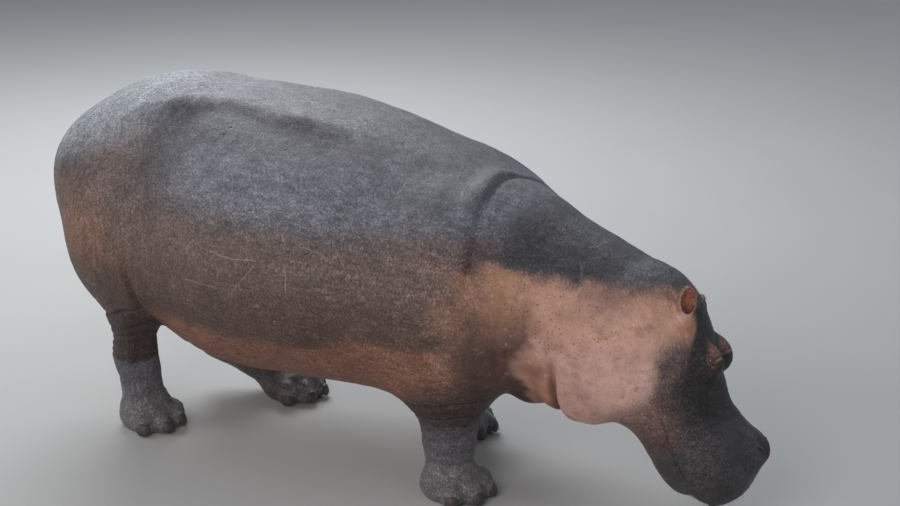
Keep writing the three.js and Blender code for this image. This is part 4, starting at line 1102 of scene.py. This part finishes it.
# ------------------------------------------------------------------ eyes
for (s, c, o, a, b) in EYES:
    rows, cols = 28, 44
    pts, faces = [], []
    for i in range(rows + 1):
        t = math.pi * i / rows
        # the cornea bulges a little over the iris
        for j in range(cols):
            f = 2 * math.pi * j / cols
            r = EYE_R * (1 + 0.05 * math.exp(-((t / 0.42) ** 2)))
            pts.append((r * math.sin(t) * math.cos(f), r * math.sin(t) * math.sin(f), r * math.cos(t)))
    pts = np.array(pts)
    for i in range(rows):
        for j in range(cols):
            k = (j + 1) % cols
            faces.append([i * cols + j, (i + 1) * cols + j, (i + 1) * cols + k, i * cols + k])
    top, bottom = len(pts), len(pts) + 1
    pts = np.concatenate([pts[cols:-cols], [[0, 0, pts[0, 2]], [0, 0, pts[-1, 2]]]])
    n = len(pts) - 2
    quads = [[v - cols for v in f] for f in faces[cols:-cols]]
    caps = [[n, j, (j + 1) % cols] for j in range(cols)] + [[n + 1, n - cols + (j + 1) % cols, n - cols + j] for j in range(cols)]
    me = mesh_from("eye", pts, quads, caps)
    me.materials.append(EYE)
    name = "eyeball_right" if s < 0 else "eyeball_left"
    ball = new_object(name, me)
    x_ = a if np.cross(a, b) @ o > 0 else -a
    ball.matrix_world = Matrix([[x_[i], b[i], o[i], (c + SHIFT)[i]] for i in range(3)] + [[0, 0, 0, 1]])
    bpy.context.view_layer.update()
    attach(ball, "root")
    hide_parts("eye_right" if s < 0 else "eye_left")

# ------------------------------------------------------------------ toenails
pts, faces, caps = [], [], []
for c, out, across, up in NAILS:
    rows, cols, base = 16, 28, len(pts)
    for i in range(1, rows):
        t = math.pi * i / rows
        for j in range(cols):
            f = 2 * math.pi * j / cols
            # a broad shield: squared off below, round above, worn thin at the lower edge
            s_, v_ = math.sin(t) * math.cos(f), math.sin(t) * math.sin(f)
            k = (abs(s_) ** 2.7 + abs(v_) ** 2.7) ** (1 / 2.7) / max(1e-6, math.hypot(s_, v_))
            s_, v_ = s_ / max(k, 1e-6), v_ / max(k, 1e-6)
            depth = math.cos(t) * (1 - 0.18 * s_ * s_) + 0.05 * math.sin(v_ * 17) * (math.cos(t) > 0) * math.sin(t)
            reach = 1.0 + 0.16 * max(0.0, -v_)
            p = c + out * NAIL_HALF[0] * (depth - 0.25 * s_ * s_ + 0.12 * -v_) + across * NAIL_HALF[1] * s_ * 1.02 + up * NAIL_HALF[2] * v_ * reach
            pts.append(p + SHIFT)
    pts.append(c + out * NAIL_HALF[0] + SHIFT)
    pts.append(c - out * NAIL_HALF[0] + SHIFT)
    first, last = base, base + (rows - 2) * cols
    tip, root_ = base + (rows - 1) * cols, base + (rows - 1) * cols + 1
    for i in range(rows - 2):
        for j in range(cols):
            k = (j + 1) % cols
            faces.append([base + i * cols + j, base + (i + 1) * cols + j, base + (i + 1) * cols + k, base + i * cols + k])
    caps += [[tip, first + j, first + (j + 1) % cols] for j in range(cols)] + [[root_, last + (j + 1) % cols, last + j] for j in range(cols)]
pts = np.array(pts)
pts[:, 2] = np.maximum(pts[:, 2], 0.0005)
nail_mesh = mesh_from("toenails", pts, faces, caps)
nail_mesh.materials.append(NAIL)
nails = new_object("toenails", nail_mesh)
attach(nails, "root")
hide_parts(*NAIL_PLACES)


# ------------------------------------------------------------------ bristles
def bristles(name, roots, normals, lie, lengths, radius, unwrap, droop=0.35):
    """Stiff tapered hairs, each a three-sided rod bent along its lie; its map is a small patch at its root's place."""
    pts, faces, uv = [], [], []
    for p, n, d, long_, q in zip(roots, normals, lie, lengths, unwrap):
        d = unit(d)
        side = unit(np.cross(d, n) + 1e-6)
        lift = unit(np.cross(side, d))
        base = len(pts)
        for i in range(5):
            t = i / 4
            mid = p - n * 0.002 + d * long_ * t - np.array([0, 0, 1]) * droop * long_ * t * t
            r = radius * (1 - 0.85 * t)
            for j in range(3):
                f = 2 * math.pi * j / 3
                pts.append(mid + (side * math.cos(f) + lift * math.sin(f)) * r)
        for i in range(4):
            for j in range(3):
                k = (j + 1) % 3
                faces.append([base + 3 * i + j, base + 3 * i + k, base + 3 * i + 3 + k, base + 3 * i + 3 + j])
                e = 0.003
                uv += [(q[0] + e * j / 3, q[1] + e * i / 4), (q[0] + e * (j + 1) / 3, q[1] + e * i / 4),
                       (q[0] + e * (j + 1) / 3, q[1] + e * (i + 1) / 4), (q[0] + e * j / 3, q[1] + e * (i + 1) / 4)]
        faces.append([base + 12, base + 13, base + 14, base + 14])
        uv += [(q[0], q[1]), (q[0] + 0.001, q[1]), (q[0] + 0.001, q[1] + 0.001), None]
    quads = [f for f in faces if f[2] != f[3]]
    tris = [f[:3] for f in faces if f[2] == f[3]]
    flat, k = [], 0
    for f in faces:
        flat.append(uv[k : k + 4])
        k += 4
    me = mesh_from(name, np.array(pts) + SHIFT, quads, tris)
    layer = me.uv_layers.new(name="OFBake")
    order = [w for f, w in zip(faces, flat) if f[2] != f[3]] + [w[:3] for f, w in zip(faces, flat) if f[2] == f[3]]
    layer.data.foreach_set("uv", np.array([c for w in order for c in w], np.float32).reshape(-1))
    me.materials.append(BRISTLE)
    o = new_object(name, me)
    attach(o, "root")
    return o


def pick(weight, n):
    weight = np.maximum(weight, 0)
    return rng.choice(len(weight), size=min(n, int((weight > 0).sum())), replace=False, p=weight / weight.sum())


L0 = in_head(P0)
U, V_, W_ = L0.T
AREA = np.ones(len(P0))
# on the lips and chin, in loose rows; sparse over the rest of the muzzle
lipness = HEADNESS * smooth(U, 0.44, 0.56) * (0.25 + 1.0 * bell(W_ - mouth_height(U) - 0.045, 0.05) + 0.8 * bell(W_ - mouth_height(U) + 0.05, 0.035)) * (W_ < 0.07)
i = pick(lipness, 420)
around = np.arctan2(V_[i], W_[i] + 0.08)
fwd = H[1][:, 0]
bristles("muzzle_bristles", P1[i], N0[i], N0[i] * 0.9 + fwd * 0.25 + rng.normal(0, 0.25, (len(i), 3)) + np.array([0, 0, -0.35]),
         rng.uniform(0.008, 0.020, len(i)), 0.0005,
         np.stack([0.02 + 0.95 * (around + math.pi) / (2 * math.pi), 0.02 + 0.95 * (U[i] - 0.30) / 0.50], 1))
# the fringe of the ears
for s, name in ((-1, "ear_fringe_right"), (1, "ear_fringe_left")):
    E = ear_local(P0, s)
    ring = ((E[:, 0] - 0.057) / 0.060) ** 2 + (E[:, 1] / 0.035) ** 2
    m = (E[:, 0] > 0.015) & (np.linalg.norm(E - [0.055, 0, 0], axis=1) < 0.085)
    i = pick(m * bell(ring - 0.95, 0.18) * smooth(E[:, 2], -0.006, 0.006), 420)
    O_, M_ = ear_frame(s)
    lie = (np.stack([E[i, 0] - 0.045, E[i, 1] * 1.6, np.full(len(i), 0.012)], 1)) @ M_.T
    lie /= np.linalg.norm(lie, axis=1)[:, None]
    bristles(name, P1[i], N0[i], lie + rng.normal(0, 0.22, (len(i), 3)), rng.uniform(0.006, 0.014, len(i)), 0.00045,
             np.stack([0.02 + 0.95 * np.clip((E[i, 0] + 0.03) / 0.16, 0, 1), 0.02 + 0.95 * np.clip((E[i, 1] + 0.045) / 0.09, 0, 1)], 1), 0.05)
# the stiff bristles down both edges of the tail's end
m = (P0[:, 0] < -1.44) & (P0[:, 2] < 0.90) & (P0[:, 2] > 0.69)
i = pick(m * smooth(0.90 - P0[:, 2], 0, 0.10) * (0.15 + bell(np.abs(P0[:, 1]) - 0.03, 0.02)), 620)
sidew = np.sign(P0[i, 1])[:, None] * np.array([0, 0.7, 0])
bristles("tail_bristles", P1[i], N0[i], sidew + N0[i] * 0.3 + np.array([-0.05, 0, -1.0]) + rng.normal(0, 0.15, (len(i), 3)),
         rng.uniform(0.025, 0.060, len(i)), 0.0007,
         np.stack([0.02 + 0.95 * (np.arctan2(P0[i, 1], P0[i, 0] + 1.48) + math.pi) / (2 * math.pi), 0.02 + 0.95 * np.clip((P0[i, 2] - 0.6) / 0.4, 0, 1)], 1))

# ------------------------------------------------------------------ floor, light and camera
floor_mesh = bpy.data.meshes.new("floor")
floor_mesh.from_pydata([(-70, -70, 0), (70, -70, 0), (70, 70, 0), (-70, 70, 0)], [], [(0, 1, 2, 3)])
floor = new_object("floor", floor_mesh)
m = Nodes("floor")
floor_mesh.materials.append(m.set(Base_Color=m.mix(m.noise(m.at, 1.5, 2.0), (0.50, 0.49, 0.47, 1), (0.53, 0.52, 0.50, 1)), Roughness=0.85))

world = bpy.data.worlds.new("world")
bpy.context.scene.world = world
world.use_nodes = True
world.node_tree.nodes["Background"].inputs[0].default_value = (0.80, 0.88, 1.0, 1)
world.node_tree.nodes["Background"].inputs[1].default_value = 0.375


def area(name, place, target, size, power, colour):
    l = bpy.data.lights.new(name, "AREA")
    l.shape, l.size, l.energy, l.color = "DISK", size, power, colour
    o = new_object(name, l)
    o.location = place
    o.rotation_mode = "QUATERNION"
    o.rotation_quaternion = (Vector(target) - Vector(place)).to_track_quat("-Z", "Y")


area("key", (-3.2, 3.2, 4.0), (-0.6, 0, 1.1), 3.5, 225, (0.92, 0.96, 1.0))
area("fill", (1.5, -6.0, 3.5), (0.2, 0, 0.7), 4.0, 156, (1.0, 0.97, 0.94))
area("side", (-5.0, -3.5, 3.5), (-0.5, 0, 0.8), 4.0, 85, (1.0, 0.98, 0.96))

AZ, EL, DISTANCE, PX_PER_M = math.radians(31), math.radians(19), 13.0, 250.0
back = np.array([math.sin(AZ) * math.cos(EL), -math.cos(AZ) * math.cos(EL), math.sin(EL)])
right = unit(np.cross(-back, [0, 0, 1.0]))
up = np.cross(right, -back)
focal = PX_PER_M * DISTANCE  # in pixels of a frame 900 wide
hind_foot = np.array([-0.95, -0.31, 0]) + SHIFT
place = hind_foot + back * DISTANCE - right * (152 - 450) / focal * DISTANCE + up * (426 - 253) / focal * DISTANCE
cam_data = bpy.data.cameras.new("camera")
cam_data.sensor_width, cam_data.lens = 36.0, focal / 900 * 36.0
cam_data.clip_start, cam_data.clip_end = 0.1, 100
cam = new_object("camera", cam_data)
cam.matrix_world = Matrix([[right[i], up[i], back[i], place[i]] for i in range(3)] + [[0, 0, 0, 1]])
bpy.context.scene.camera = cam
bpy.context.scene.view_settings.view_transform = "Standard"

bpy.context.view_layer.update()
